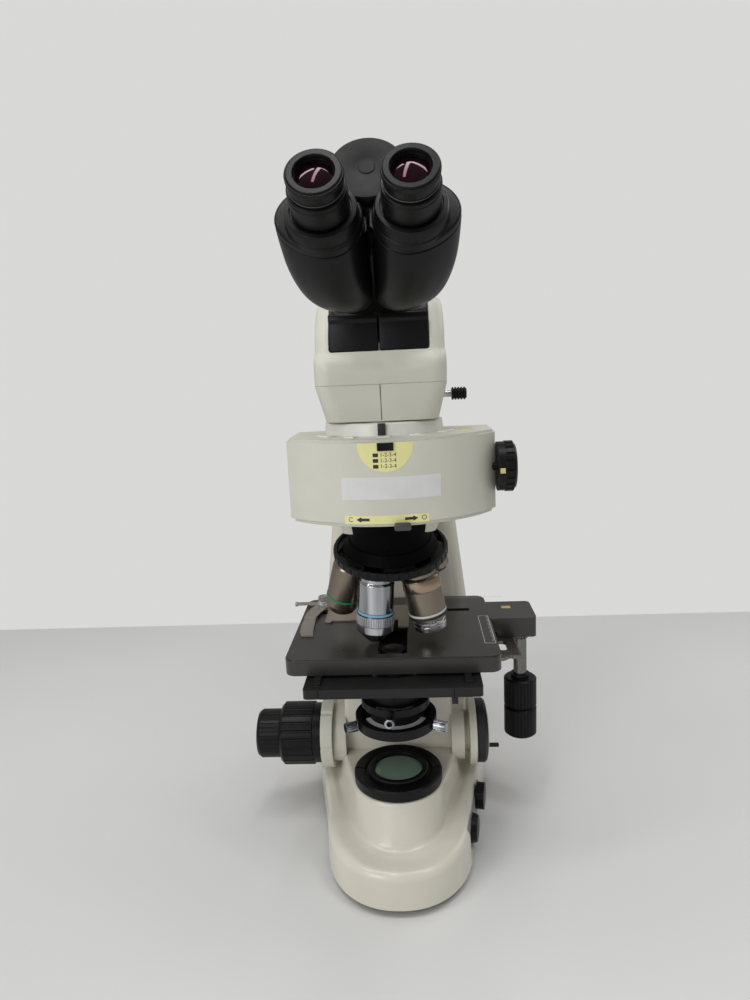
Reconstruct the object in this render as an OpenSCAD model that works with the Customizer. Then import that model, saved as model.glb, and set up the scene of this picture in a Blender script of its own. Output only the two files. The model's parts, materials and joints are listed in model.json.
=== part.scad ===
// Upright compound microscope with an epi-fluorescence attachment.
// Millimetres. X is to the right, Y to the back, Z up.
// The origin is on the bench, under the optical axis.

/* [Stand] */
// Half-width of the base at the optical axis
base_half_w = 68; // [64:1:72]
// Reach of the base nose in front of the optical axis
base_nose = 88; // [86:1:94]
// Distance from the optical axis back to the rear of the base
base_rear = 215; // [212:1:235]
// Height of the base shoulder at the nose
shoulder_h = 40; // [37:1:43]
// Height of the plinth that carries the field lens and the limb
plinth_h = 74; // [72:0.5:75]
// Wall of the castings
wall = 5; // [4:0.5:6]
// Height of the rubber feet
foot_h = 4; // [3:0.5:5]
// Thickness of the bottom plate
plate_t = 2.5; // [2:0.5:4]
// Distance from the optical axis back to the limb column
column_y = 140; // [138:1:146]
// Half-width of the limb column at its top
column_half_w = 62; // [58:1:66]
// Height of the top of the limb
limb_top = 331; // [327:1:337]
// Thickness of the limb's overhanging arm
arm_t = 25; // [22:1:26]

/* [Field lens] */
// Outer radius of the field diaphragm ring
field_r = 40.8; // [38:0.2:42]
// Radius of the filter seat
filter_r = 22.7; // [22:0.1:24]
// Height of the field diaphragm ring
field_h = 10.5; // [9:0.5:11]

/* [Focus drive] */
// Height of the focus axis above the plinth
focus_lift = 11; // [10.5:0.5:12]
// Radius of the coarse knob
coarse_r = 31; // [28:0.5:33]
// Length of the coarse knob
coarse_len = 41; // [32:1:46]
// Radius of the fine knob
fine_r = 24; // [20:0.5:26]
// Length of the fine knob
fine_len = 23; // [16:1:30]
// Gear module of the focus drive and the stage drive
gear_m = 1; // [0.95:0.01:1.02]

/* [Stage] */
// Height of the stage surface
stage_top = 207; // [206:0.5:209]
// Thickness of the top plate
stage_t = 14.5; // [14:0.5:15]
// Half-width of the top plate
stage_half_w = 93.5; // [90:0.5:96]
// Half-width of the lower plate
lower_half_w = 75; // [72:0.5:76]
// Radius of the two stage knobs
handle_r = 16; // [14:0.5:18]
// Height of one stage knob
handle_h = 30; // [26:1:34]

/* [Condenser] */
// Height of the underside of the condenser holder
holder_z = 131; // [130:0.5:132]
// Outer radius of the condenser holder
holder_r = 37; // [36:0.5:38]
// Radius of the aperture ring
aperture_r = 31; // [30:0.5:31.5]

/* [Nosepiece] */
// Forward tilt of the nosepiece axis in degrees
nose_tilt = 15; // [14:0.5:16]
// Radius of the circle of objective seats
port_pitch = 38; // [37:0.5:39]
// Radius of the nosepiece ring
nose_r = 53; // [52.5:0.5:56]
// Parfocal distance from the seat to the specimen
parfocal = 60; // [59:0.5:61]
// Turn of the nosepiece away from its click position in degrees
nose_turn = -18; // [-22:1:-14]

/* [Epi attachment] */
// Height of the filter housing
box_h = 67; // [64:1:72]
// Radius of the bulged front of the filter housing
box_front_r = 105.5; // [104:0.5:107]
// Radius of the filter knob
filter_knob_r = 20.5; // [18:0.5:22]

/* [Head] */
// Radius of the white mounting ring
mount_ring_r = 49; // [47:0.5:51]
// Half-width of the head at its widest
head_half_w = 52.5; // [51:0.5:54]
// Half of the distance between the eyepieces
half_ipd = 27.9; // [27.5:0.1:29]
// Rise of the eyepiece tubes in degrees
tube_rise = 30; // [29:0.5:31]
// Radius of the eyepiece rim
eye_r = 16.9; // [16:0.1:18]

/* [Clearances] */
// Radial clearance of a shaft in its bore
run_gap = 0.08; // [0.05:0.01:0.1]
// Gap between faces that slide past each other
slide_gap = 0.3; // [0.2:0.05:0.4]

/* [Hidden] */
$fn = 64;

cream = "#e4e1d2";
black = "#222224";
bronze = "#57524c";
steel = "#b9bcc0";
taupe = "#a39a90";
brass = "#b59a55";

// Base
base_z = foot_h + plate_t;
side_flare = 0.2;
flare_end = 110;
corner_pow = 2 / 2.2;
shoulder_rise = 3.4;
shoulder_fillet = 7;
light_z = 45;
tunnel_r = 17;
foot_r = 11;
feet_at = [[-30, -55], [30, -55], [0, 0], [-70, 190], [70, 190]];
block_y = 50;
block_top = plinth_h + 56;
block_half_w = 53;
column_d = 62;
column_foot_half_w = 86;
column_waist_half_w = 78;
column_waist_z = 190;
column_corner = 16;
arm_z = limb_top - arm_t;
arm_front = 10;
// Side controls
panel_turn = 11.3;
dial_r = 12.5;
switch_r = 13.5;
// Gears
gear_a = 16;
gear_b = 50;
gear_p = 14;
gear_c = 14;
gear_slack = 0.2;
condenser_m = 0.8;
r_a = gear_m * gear_a / 2;
r_b = gear_m * gear_b / 2;
r_p = gear_m * gear_p / 2;
r_c = condenser_m * gear_c / 2;
focus_y = 65;
focus_z = plinth_h + focus_lift;
lay_y = focus_y + r_a + r_b;
rack_y = lay_y - r_p;
focus_travel = 25;
tube_r = 7;
fine_shaft_r = 4;
lay_r = 3.5;
hub_out = 65;
hub_r = 28;
spigot_r = 20;
ring_out = 77;
knob_in = 78;
coarse_out = knob_in + coarse_len;
fine_out = coarse_out + 1 + fine_len;
disc_in = 78;
disc_out = 88;
cap_out = 91.5;
pin_out = 99.6;
// Carrier
carrier_half_w = 27;
carrier_z = 120;
lower_t = 8;
lower_z = stage_top - stage_t - 2.5 - lower_t;
flange_t = 8;
carrier_top = lower_z - flange_t;
tongue = 3.5;
condenser_hole_r = 36;
// Stage
stage_bottom = stage_top - stage_t;
stage_front = -34;
stage_back = 126;
lower_front = -57;
lower_back = 90;
ext_out = 138;
ext_front = 56;
ext_back = 105;
ext_t = 20;
ext_bottom = stage_top - ext_t;
slot_half_w = 13;
handle_x = ext_out - 15;
handle_y = 66;
y_rack_x = handle_x - r_p;
y_rack_t = 3.4;
x_rack_y = handle_y + r_p;
x_rack_z = stage_bottom + 1;
x_rack_h = 5;
x_rack_from = 50;
sleeve_r = 6.5;
inner_r = 3.4;
neck_r = 5;
y_pinion_z = ext_bottom - slide_gap - y_rack_t;
y_knob_top = 142;
y_knob_z = y_knob_top - handle_h;
x_knob_z = y_knob_z - 0.6 - handle_h;
carriage_from = -60;
carriage_to = 5;
web_y = 80;
web_d = 6;
holder_t = 1.5;
holder_lift = 0.2;
clip_x = -74;
clip_y = 101;
clip_z = stage_top + holder_lift + holder_t + 0.2;
// Condenser
bore_r = 30.3;
holder_t9 = 9;
cond_pinion_z = 150;
cond_rack_y = 46.5;
cond_axis_y = cond_rack_y - r_c;
aperture_z = holder_z + 19;
nose_top = stage_top - 5;
screw_turn = 25;
// Nosepiece
slide_allow = 1.5;
seat_z = stage_top + slide_allow + parfocal;
nose_y = port_pitch * cos(nose_tilt);
nose_z = seat_z + port_pitch * sin(nose_tilt);
ring_t = 12;
pivot_r = 8;
thread_r = 12.5;
boss_r = 14.8;
// Epi attachment
box_z = limb_top;
box_top = box_z + box_h;
box_left = -77;
box_right = 90;
box_back = 20;
box_wall = 4;
turret_y = -27;
filter_axis_z = box_z + 37;
arm_back = 275;
arm_half_w = 34;
lamp_axis_z = box_z + 31;
bevel_r = 10;
// Head
ring_top = box_top + 11;
head_z = ring_top;
seam_z = head_z + 29;
ledge_z = seam_z + 12;
notch_z = seam_z + 25.5;
cheek_z = seam_z + 68;
notch_half_w = 39.5;
pivot_y = 14;
pivot_z = notch_z + 24.5;
disc_y = -105;
disc_z = head_z + 167;
disc_r = 25.5;
eye_drop = 42;
pin_r = 10;

function polar(r, a) = [r * cos(a), r * sin(a)];
function involute(r, rb) = let (t = sqrt(max(0, r * r / (rb * rb) - 1))) t * 180 / PI - atan(t);
function right_side(w, nose) = [
    for (a = [6 : 6 : 90]) [w * pow(sin(a), corner_pow), -nose * pow(cos(a), corner_pow)]];

// Spur gear with one tooth centred on the first axis.
function gear_points(m, z) = let (
    rp = m * z / 2,
    rb = rp * cos(20),
    root = rp - 1.2 * m,
    tip = rp + 0.8 * m,
    from = max(root, rb),
    half = 90 / z - gear_slack / rp * 90 / PI + involute(rp, rb),
    radii = [for (i = [0 : 3]) from + (tip - from) * i / 3])
    [for (k = [0 : z - 1]) each concat(
        [polar(root, k * 360 / z - half)],
        [for (r = radii) polar(r, k * 360 / z - half + involute(r, rb))],
        [for (i = [3 : -1 : 0]) polar(radii[i], k * 360 / z + half - involute(radii[i], rb))],
        [polar(root, k * 360 / z + half)])];

// Rack along X from x0 to x1, pitch line on Y = 0, teeth towards -Y, a gap centred on x = 0.
module rack_2d(m, x0, x1, back) {
    pitch = PI * m;
    half = pitch / 4 - gear_slack / 2;
    first = ceil(x0 / pitch - 0.5);
    last = floor(x1 / pitch - 0.5);
    translate([x0, 1.2 * m])
        square([x1 - x0, back - 1.2 * m]);
    for (k = [first : last])
        translate([(k + 0.5) * pitch, 0])
            polygon([
                [-half - 1.25 * m * tan(20), 1.25 * m],
                [-half + 0.8 * m * tan(20), -0.8 * m],
                [half - 0.8 * m * tan(20), -0.8 * m],
                [half + 1.25 * m * tan(20), 1.25 * m]]);
}

module gear(m, z, h) {
    linear_extrude(h)
        polygon(gear_points(m, z));
}

module along_x(x, y, z) {
    translate([x, y, z])
        rotate([90, 0, 90])
            children();
}

module rounded_2d(x0, x1, y0, y1, r) {
    translate([x0 + r, y0])
        square([x1 - x0 - 2 * r, y1 - y0]);
    translate([x0, y0 + r])
        square([x1 - x0, y1 - y0 - 2 * r]);
    for (x = [x0 + r, x1 - r], y = [y0 + r, y1 - r])
        translate([x, y])
            circle(r);
}

module rounded_box(x0, x1, y0, y1, z0, z1, r) {
    translate([0, 0, z0])
        linear_extrude(z1 - z0)
            rounded_2d(x0, x1, y0, y1, r);
}

module box(x0, x1, y0, y1, z0, z1) {
    translate([x0, y0, z0])
        cube([x1 - x0, y1 - y0, z1 - z0]);
}

// Thin slice with round corners, used as a station of a blended form.
module station(half_w, y0, y1, z, r) {
    for (x = [-half_w + r, half_w - r], y = [y0 + r, y1 - r])
        translate([x, y, z])
            cylinder(r = r, h = 0.5, $fn = 32);
}

// Round knob with straight ribs.
module ribbed(r, h, ribs, depth) {
    linear_extrude(h)
        difference() {
            circle(r);
            for (k = [0 : ribs - 1])
                rotate(k * 360 / ribs)
                    translate([r, 0])
                        circle(depth, $fn = 16);
        }
}

module tube(ro, ri, h) {
    linear_extrude(h)
        difference() {
            circle(ro);
            circle(ri);
        }
}

// Base

module base_slice(inset, z, lean, t = 0.2) {
    w = base_half_w - inset;
    side = right_side(w, base_nose - inset);
    far = w + side_flare * flare_end;
    rear = base_rear - inset;
    ring = concat(
        [[0, -base_nose + inset]], side, [[far, flare_end], [far, rear]], [[-far, rear], [-far, flare_end]],
        [for (i = [len(side) - 1 : -1 : 0]) [-side[i][0], side[i][1]]]);
    translate([0, -base_nose, z])
        rotate([lean, 0, 0])
            translate([0, base_nose, 0])
                linear_extrude(t)
                    polygon(ring);
}

module base_form(inset, z0, top) {
    f = shoulder_fillet;
    hull() {
        base_slice(inset, z0, 0);
        for (a = [0, 30, 60, 90])
            base_slice(inset + 1 + f * (1 - cos(a)), top - f + f * sin(a), shoulder_rise);
    }
}

module plinth_form() {
    hull() {
        translate([0, -17, shoulder_h - 6])
            cylinder(r = 47, h = 0.5, $fn = 96);
        station(64, 40, column_y + 10, shoulder_h - 6, 4);
        translate([0, 0, plinth_h - 2.5])
            cylinder(r = 43.5, h = 0.5, $fn = 96);
        translate([0, 0, plinth_h - 0.5])
            cylinder(r = 42, h = 0.5, $fn = 96);
        station(57, block_y - 2, column_y + 10, plinth_h - 0.5, 4);
    }
}

module column_form() {
    hull() {
        station(column_foot_half_w, column_y - 6, column_y + column_d + 8, shoulder_h + 8, column_corner);
        station(column_waist_half_w, column_y - 2, column_y + column_d + 4, column_waist_z, column_corner);
        station(column_half_w, column_y, column_y + column_d, limb_top - 0.5, 14);
    }
}

module below(z) {
    intersection() {
        children();
        box(-150, 150, -150, 300, 0, z);
    }
}

module above(z) {
    intersection() {
        children();
        box(-150, 150, -150, 300, z, 700);
    }
}

module panel_place(y, z, out) {
    translate([base_half_w, 0, 0])
        rotate([0, 0, -panel_turn])
            translate([out, y, z])
                children();
}

module base_casting() {
    color(cream)
        difference() {
            union() {
                base_form(0, base_z, shoulder_h);
                below(plinth_h)
                    plinth_form();
                below(plinth_h)
                    column_form();
            }
            base_form(wall + 1, base_z - 1, shoulder_h - wall);
            // light tunnel, mirror chamber and the opening under the limb
            box(-34, 34, -20, 135, base_z, plinth_h - wall);
            box(-tunnel_r, tunnel_r, 130, base_rear - 8, light_z - tunnel_r, light_z + tunnel_r);
            translate([0, 0, plinth_h - wall - 1])
                cylinder(r = filter_r - 3, h = wall + 2);
            box(-38, 38, block_y + wall, column_y - 10, plinth_h - wall - 1, plinth_h + 1);
            box(-50, 50, column_y + 12, column_y + column_d - 12, shoulder_h, plinth_h + 1);
            translate([0, base_rear + 1, light_z])
                rotate([90, 0, 0])
                    cylinder(r = tunnel_r, h = wall * 3);
            // seats of the bosses of the focus shaft
            for (side = [0, 1])
                mirror([side, 0, 0])
                    along_x(block_half_w - 1.3, focus_y, focus_z)
                        cylinder(r = hub_r + slide_gap, h = 20);
            // flat for the side panel
            panel_place(-34, 9, -1.5)
                cube([20, 92, 36]);
        }
}

module base_cover() {
    color(black)
        base_slice(4, foot_h, 0, plate_t);
}

module rubber_feet() {
    color(black)
        for (p = feet_at)
            translate([p[0], p[1], 0])
                rotate_extrude()
                    polygon([[0, 0], [foot_r - 1, 0], [foot_r, 1], [foot_r - 1, foot_h], [0, foot_h]]);
}

module limb() {
    color(cream)
        difference() {
            union() {
                above(plinth_h)
                    column_form();
                hull() {
                    station(block_half_w + 2, block_y, column_y + 10, plinth_h, 4);
                    station(block_half_w, block_y, column_y + 10, block_top - 2, 4);
                    station(block_half_w - 2, block_y + 2, column_y + 10, block_top - 0.5, 4);
                }
                hull() {
                    station(column_half_w, column_y, column_y + column_d, limb_top - 0.5, 14);
                    station(column_half_w - 2, column_y - 6, column_y + column_d, arm_z, 14);
                    station(42, arm_front, column_y, arm_z, 10);
                    station(44, arm_front, column_y, limb_top - 0.5, 10);
                }
                // bosses of the focus shaft and the spigot of the torque ring
                for (side = [0, 1])
                    mirror([side, 0, 0]) {
                        along_x(block_half_w - 1, focus_y, focus_z)
                            cylinder(r = hub_r, h = hub_out - block_half_w + 1);
                        along_x(hub_out, focus_y, focus_z)
                            cylinder(r = spigot_r, h = ring_out - hub_out);
                    }
                along_x(hub_out + 5, focus_y, focus_z)
                    cylinder(r = 33, h = ring_out - hub_out - 5);
            }
            // gear chamber, carrier channel and the grooves for its tongues
            box(-42, 42, block_y + wall, column_y - 10, plinth_h - 1, block_top - 12);
            box(-carrier_half_w - slide_gap, carrier_half_w + slide_gap,
                block_y - 1, block_y + 34, focus_z + 9.8, block_top + 1);
            box(-carrier_half_w - tongue - slide_gap, carrier_half_w + tongue + slide_gap,
                63.7, 70.3, focus_z + 9.8, block_top + 1);
            box(-14, 14, block_y + 30, rack_y + 10, plinth_h - 1, block_top + 1);
            // bearings of the focus shaft and the layshaft
            along_x(-90, focus_y, focus_z)
                cylinder(r = tube_r + run_gap, h = 180);
            along_x(-47, lay_y, focus_z)
                cylinder(r = lay_r + run_gap, h = 94);
            // hollow column
            box(-50, 50, column_y + 12, column_y + column_d - 12, plinth_h - 1, arm_z - 10);
        }
}

module lamp_cover() {
    y0 = base_rear;
    color(black)
        difference() {
            rounded_box(-42, 42, y0, y0 + 72, 18, 90, 6);
            box(-38, 38, y0 + 4, y0 + 68, 22, 86);
            translate([0, y0 + 5, light_z])
                rotate([90, 0, 0])
                    cylinder(r = tunnel_r, h = 6);
            for (k = [0 : 8])
                box(-30, 30, y0 + 10 + 6 * k, y0 + 13 + 6 * k, 80, 95);
            for (k = [0 : 5])
                box(-50, 50, y0 + 14 + 8 * k, y0 + 17 + 8 * k, 34, 74);
        }
}

module halogen_lamp() {
    y0 = base_rear + 34;
    color(steel) {
        box(-12, 12, y0 - 10, y0 + 10, 22, light_z - 14);
        translate([0, y0, light_z - 14])
            cylinder(r = 5, h = 6);
        translate([0, y0, light_z - 8])
            cylinder(r = 6, h = 12);
        translate([0, y0, light_z + 4])
            sphere(r = 6);
    }
}

module field_mirror() {
    color(steel)
        difference() {
            union() {
                box(-16, 16, -18, 18, base_z, base_z + 6);
                translate([0, 0, light_z - 2])
                    rotate([-45, 0, 0])
                        translate([-16, -22, -4])
                            cube([32, 44, 4]);
                box(-16, -12, -14, 14, base_z, light_z - 16);
                box(12, 16, -14, 14, base_z, light_z - 16);
            }
        }
}

module field_cell() {
    color(black)
        translate([0, 0, plinth_h])
            rotate_extrude()
                polygon([
                    [filter_r - 2, 0], [28, 0], [28, field_h + 0.5], [27, field_h + 1.5],
                    [filter_r + 0.6, field_h + 1.5], [filter_r, field_h + 0.9], [filter_r, 7.5],
                    [filter_r - 0.7, 7.5], [filter_r - 0.7, 1.5], [filter_r - 2, 1.5]]);
}

module field_ring() {
    color(black)
        translate([0, 0, plinth_h])
            difference() {
                rotate_extrude()
                    polygon([
                        [28 + run_gap, 0.3], [field_r - 1, 0.3], [field_r, 1.3], [field_r, field_h - 1.5],
                        [field_r - 1.5, field_h], [31, field_h - 1.2], [30, field_h - 2.6],
                        [28 + run_gap, field_h - 2.6]]);
                for (s = [-1, 1])
                    translate([s * 36, 0, field_h])
                        cube([13, 1.6, 4], center = true);
            }
}

module field_lens() {
    r = filter_r - 0.75;
    color("#9db8a4", 0.6)
        translate([0, 0, plinth_h + 1.5])
            rotate_extrude()
                polygon(concat([[0, 0], [r, 0], [r, 2.5]],
                    [for (x = [0.9 : -0.1 : 0]) [r * x, 2.5 + 3 * (1 - x * x)]]));
}

module control_panel() {
    color("#8d918f")
        difference() {
            panel_place(-30, 10, -1.5)
                cube([1.5, 84, 26]);
            panel_place(-5, 24, -4)
                rotate([0, 90, 0])
                    cylinder(r = 3.4, h = 8);
            panel_place(33, 33, -4)
                rotate([0, 90, 0])
                    cylinder(r = 3.4, h = 8);
        }
}

module brightness_dial() {
    color(black)
        panel_place(33, 33, -1.2) {
            translate([1.5, 0, 0])
                rotate([0, 90, 0])
                    ribbed(dial_r, 8, 24, 0.7);
            rotate([0, 90, 0])
                cylinder(r = 3, h = 2);
        }
}

module power_switch() {
    color(black)
        panel_place(-5, 24, -1.2) {
            translate([1.5, 0, 0])
                rotate([0, 90, 0])
                    difference() {
                        cylinder(r1 = switch_r, r2 = switch_r - 2, h = 5.5);
                        translate([0, 0, 40 + 4.6])
                            sphere(r = 40, $fn = 128);
                    }
            rotate([0, 90, 0])
                cylinder(r = 3, h = 2);
        }
}

// Focus drive

module torque_ring() {
    color(cream)
        along_x(-ring_out, focus_y, focus_z)
            difference() {
                tube(34, spigot_r + run_gap, ring_out - hub_out - slide_gap);
                for (k = [0 : 5])
                    rotate(k * 60)
                        translate([35.5, 0, -1])
                            cylinder(r = 3, h = 20);
            }
}

module coarse_shaft() {
    color(steel)
        difference() {
            union() {
                along_x(-coarse_out, focus_y, focus_z)
                    cylinder(r = tube_r, h = coarse_out + disc_in + 2);
                along_x(18, focus_y, focus_z)
                    gear(gear_m, gear_a, 8);
                along_x(disc_in, focus_y, focus_z)
                    rotate_extrude()
                        polygon([
                            [0, 0], [coarse_r, 0], [coarse_r, 7], [coarse_r - 2, 9],
                            [fine_r + 2, disc_out - disc_in], [0, disc_out - disc_in]]);
            }
            along_x(-150, focus_y, focus_z)
                cylinder(r = fine_shaft_r + run_gap, h = 300);
        }
}

module coarse_knob() {
    len = coarse_len;
    color(black)
        along_x(-coarse_out, focus_y, focus_z)
            difference() {
                union() {
                    cylinder(r1 = coarse_r - 3, r2 = coarse_r, h = 3);
                    translate([0, 0, 3])
                        ribbed(coarse_r, len - 11, 24, 1.4);
                    translate([0, 0, len - 8])
                        cylinder(r = coarse_r - 1.5, h = 8);
                }
                translate([0, 0, -1])
                    cylinder(r = tube_r, h = len + 2);
            }
}

module fine_knob() {
    len = fine_len;
    color(black) {
        along_x(-fine_out, focus_y, focus_z) {
            cylinder(r1 = fine_r - 2, r2 = fine_r, h = 3);
            translate([0, 0, 3])
                ribbed(fine_r, len - 3, 36, 0.6);
        }
        along_x(-fine_out + 1, focus_y, focus_z)
            cylinder(r = fine_shaft_r, h = fine_out + cap_out - 2);
    }
}

module fine_disc() {
    color(cream)
        difference() {
            along_x(disc_out + 0.4, focus_y, focus_z)
                cylinder(r1 = fine_r, r2 = fine_r - 1, h = cap_out - disc_out - 0.4);
            along_x(0, focus_y, focus_z)
                cylinder(r = fine_shaft_r, h = cap_out - 1);
        }
    color(black)
        along_x(cap_out - 0.5, focus_y, focus_z - 15)
            cylinder(r = 2, h = pin_out - cap_out + 0.5);
}

module focus_layshaft() {
    color(brass) {
        along_x(-46, lay_y, focus_z)
            cylinder(r = lay_r, h = 92);
        along_x(18, lay_y, focus_z)
            rotate(180 / gear_b + 180)
                gear(gear_m, gear_b, 8);
        along_x(-7, lay_y, focus_z)
            rotate(180)
                gear(gear_m, gear_p, 14);
    }
}

// Stage and condenser carriers

module stage_carrier() {
    front = block_y;
    color(black)
        difference() {
            union() {
                box(-carrier_half_w, carrier_half_w, front, front + 32, carrier_z, carrier_top);
                box(-carrier_half_w - tongue, carrier_half_w + tongue, 64, 70, carrier_z, carrier_top);
                box(-45, 45, 26, front + 32, carrier_top, carrier_top + flange_t);
                // tail with the focus rack
                box(-7, 7, front + 31, rack_y - 2, focus_z - 7, carrier_z + 20);
                translate([-7, rack_y, focus_z])
                    rotate([0, -90, 180])
                        linear_extrude(14)
                            rack_2d(gear_m, -7, 37, 4);
                // condenser rack and rails
                translate([4, cond_rack_y, cond_pinion_z])
                    rotate([0, -90, 0])
                        linear_extrude(8)
                            rack_2d(condenser_m, -22, 12, front - cond_rack_y + 1);
                for (s = [-1, 1])
                    box(s * 12 - 2, s * 12 + 2, front - 4, front + 1, 128, carrier_top);
            }
            translate([0, 0, carrier_top - 1])
                cylinder(r = condenser_hole_r, h = flange_t + 2);
            // room for the large gear at the lowest stage position
            along_x(17, lay_y, focus_z + focus_travel)
                cylinder(r = r_b + 2.5, h = 12);
        }
}

module stage_lower_plate() {
    color(black)
        difference() {
            union() {
                rounded_box(-lower_half_w, lower_half_w, lower_front, lower_back,
                    lower_z, lower_z + lower_t, 4);
                for (s = [-1, 1])
                    box(s * 64 - 3, s * 64 + 3, lower_front + 8, lower_back - 6,
                        lower_z + lower_t, stage_bottom - 0.2);
                box(49, 54, lower_front, lower_front + 4, lower_z - 6, lower_z + 1);
            }
            translate([0, 0, lower_z - 1])
                cylinder(r = condenser_hole_r, h = lower_t + 2);
            for (x = [-62, 51])
                box(x - 0.4, x + 0.4, lower_front - 1, lower_front + 0.8, lower_z - 1, lower_z + lower_t + 1);
        }
}

module stage_y_rack() {
    color(bronze)
        translate([0, 0, y_pinion_z + 0.1])
            linear_extrude(y_rack_t - 0.2)
                difference() {
                    union() {
                        translate([y_rack_x, handle_y])
                            rotate(90)
                                rack_2d(gear_m, -53, 15, 8);
                        polygon([
                            [lower_half_w, 6], [y_rack_x - 16, 9], [y_rack_x - 10, 14], [y_rack_x - 4, 14],
                            [y_rack_x - 4, 80], [lower_half_w, 80]]);
                    }
                    for (y = [26, 58])
                        translate([y_rack_x - 14, y])
                            rounded_2d(-4, 4, 0, 22, 3.5);
                }
}

module stage_top_plate() {
    color(bronze)
        difference() {
            union() {
                rounded_box(-stage_half_w, stage_half_w, stage_front, stage_back,
                    stage_bottom, stage_top - 1, 10);
                rounded_box(-stage_half_w + 1, stage_half_w - 1, stage_front + 1, stage_back - 1,
                    stage_bottom, stage_top, 9);
                rounded_box(stage_half_w - 20, ext_out, ext_front, ext_back,
                    stage_bottom, stage_top - 0.4, 5);
                rounded_box(stage_half_w + 2, ext_out, ext_front, ext_back, ext_bottom, stage_bottom + 1, 5);
            }
            translate([0, 0, stage_bottom - 1])
                linear_extrude(stage_t + 2)
                    rounded_2d(-slot_half_w, slot_half_w, -24, 66, 3);
            // tunnel of the X rack and slot of the carriage
            box(-74, ext_out + 1, x_rack_y - 1.2, web_y + 0.6, x_rack_z - 1.1, x_rack_z + x_rack_h + 0.6);
            box(-74, 75, web_y - 1, web_y + web_d + 0.6, stage_bottom - 1, stage_top + 1);
            translate([handle_x, handle_y, x_rack_z - 0.6])
                cylinder(r = r_p + 1.8 * gear_m, h = x_rack_h + 1.2);
            translate([handle_x, handle_y, ext_bottom - 1])
                cylinder(r = neck_r + run_gap, h = 12);
            translate([handle_x, handle_y, ext_bottom])
                cylinder(r = inner_r + run_gap, h = 17);
        }
}

module x_carriage() {
    color(black) {
        box(carriage_from, x_rack_from, x_rack_y + 1.2, web_y, x_rack_z, x_rack_z + x_rack_h);
        translate([handle_x, x_rack_y, x_rack_z])
            linear_extrude(x_rack_h)
                rack_2d(gear_m, x_rack_from - handle_x, ext_out - handle_x, web_y - x_rack_y);
        box(carriage_from, carriage_to, web_y - 0.5, web_y + web_d, x_rack_z, stage_top + holder_lift);
    }
}

module slide_holder() {
    color(taupe)
        translate([0, 0, stage_top + holder_lift])
            linear_extrude(holder_t)
                difference() {
                    union() {
                        rounded_2d(-68, 14, 56, 96, 3);
                        rounded_2d(-68, -61, 52.5, 60, 2);
                        rounded_2d(4, 14, 35, 62, 3);
                        translate([clip_x, clip_y])
                            circle(9);
                        polygon([[clip_x - 4, clip_y - 8], [-60, 84], [-60, 96], [clip_x, clip_y + 9]]);
                    }
                    translate([clip_x, clip_y])
                        circle(2.5);
                    translate([2.5, 52])
                        circle(2.5);
                }
}

module slide_clip() {
    color(taupe)
        difference() {
            union() {
                translate([clip_x, clip_y, clip_z]) {
                    cylinder(r = 8, h = 1.5);
                    linear_extrude(1.5)
                        polygon([
                            [-4, 5], [-17, 7.5], [-27, 7], [-30, 5.5], [-30, 1.5], [-27, 0.5], [-16, 1],
                            [-8, -3], [-12.5, -14], [-15, -28], [-15.6, -40], [-4, -40], [-1, -26], [3, -14],
                            [7, -4]]);
                }
                translate([clip_x, clip_y, stage_top + holder_lift])
                    linear_extrude(1.8)
                        polygon([
                            [-15.4, -36], [-15.6, -60], [-14, -76], [-11.6, -83], [-0.6, -83], [-1.8, -76],
                            [-3, -58], [-4, -36]]);
                translate([clip_x, clip_y, stage_top + holder_lift])
                    linear_extrude(3.2)
                        polygon([[-15.2, -34], [-15.6, -40], [-4, -40], [-2.6, -34]]);
            }
            translate([clip_x, clip_y, clip_z - 1])
                cylinder(r = 2.5 + run_gap, h = 5);
        }
    color(black)
        translate([clip_x - 31, clip_y + 3.5, clip_z + 0.75])
            rotate([0, 90, 0])
                cylinder(r = 2.4, h = 2.5);
}

module clip_knob() {
    color("#d8dde0", 0.5)
        translate([clip_x, clip_y, stage_top + holder_lift]) {
            cylinder(r = 2.5, h = 4);
            translate([0, 0, 3.6])
                cylinder(r1 = 7, r2 = 6, h = 8);
        }
}

module y_shaft() {
    color(steel)
        translate([handle_x, handle_y, 0])
            difference() {
                union() {
                    translate([0, 0, y_knob_top - 20])
                        cylinder(r = sleeve_r, h = y_pinion_z - y_knob_top + 20);
                    translate([0, 0, y_pinion_z])
                        rotate(180)
                            gear(gear_m, gear_p, y_rack_t);
                    translate([0, 0, y_pinion_z])
                        cylinder(r = neck_r, h = y_rack_t + 4);
                }
                translate([0, 0, y_knob_top - 30])
                    cylinder(r = inner_r + run_gap, h = 100);
            }
}

module stage_knob(h) {
    difference() {
        union() {
            translate([0, 0, 1.5])
                ribbed(handle_r, h - 3, 30, 0.8);
            cylinder(r1 = handle_r - 2, r2 = handle_r - 0.5, h = 1.5);
            translate([0, 0, h - 1.5])
                cylinder(r1 = handle_r - 0.5, r2 = handle_r - 2, h = 1.5);
        }
        children();
    }
}

module y_knob() {
    color(black)
        translate([handle_x, handle_y, y_knob_z]) {
            stage_knob(handle_h) {
                translate([0, 0, handle_h - 20])
                    cylinder(r = sleeve_r, h = 30);
                translate([0, 0, -1])
                    cylinder(r = inner_r + run_gap, h = 60);
            }
            translate([0, 0, handle_h])
                tube(9, sleeve_r, 4);
        }
}

module x_knob() {
    color(black)
        translate([handle_x, handle_y, 0]) {
            translate([0, 0, x_knob_z])
                stage_knob(handle_h);
            translate([0, 0, x_knob_z + handle_h - 1])
                cylinder(r = inner_r, h = ext_bottom + 16.5 - x_knob_z - handle_h);
            translate([0, 0, x_rack_z])
                rotate(90)
                    gear(gear_m, gear_p, x_rack_h);
        }
}

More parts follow.
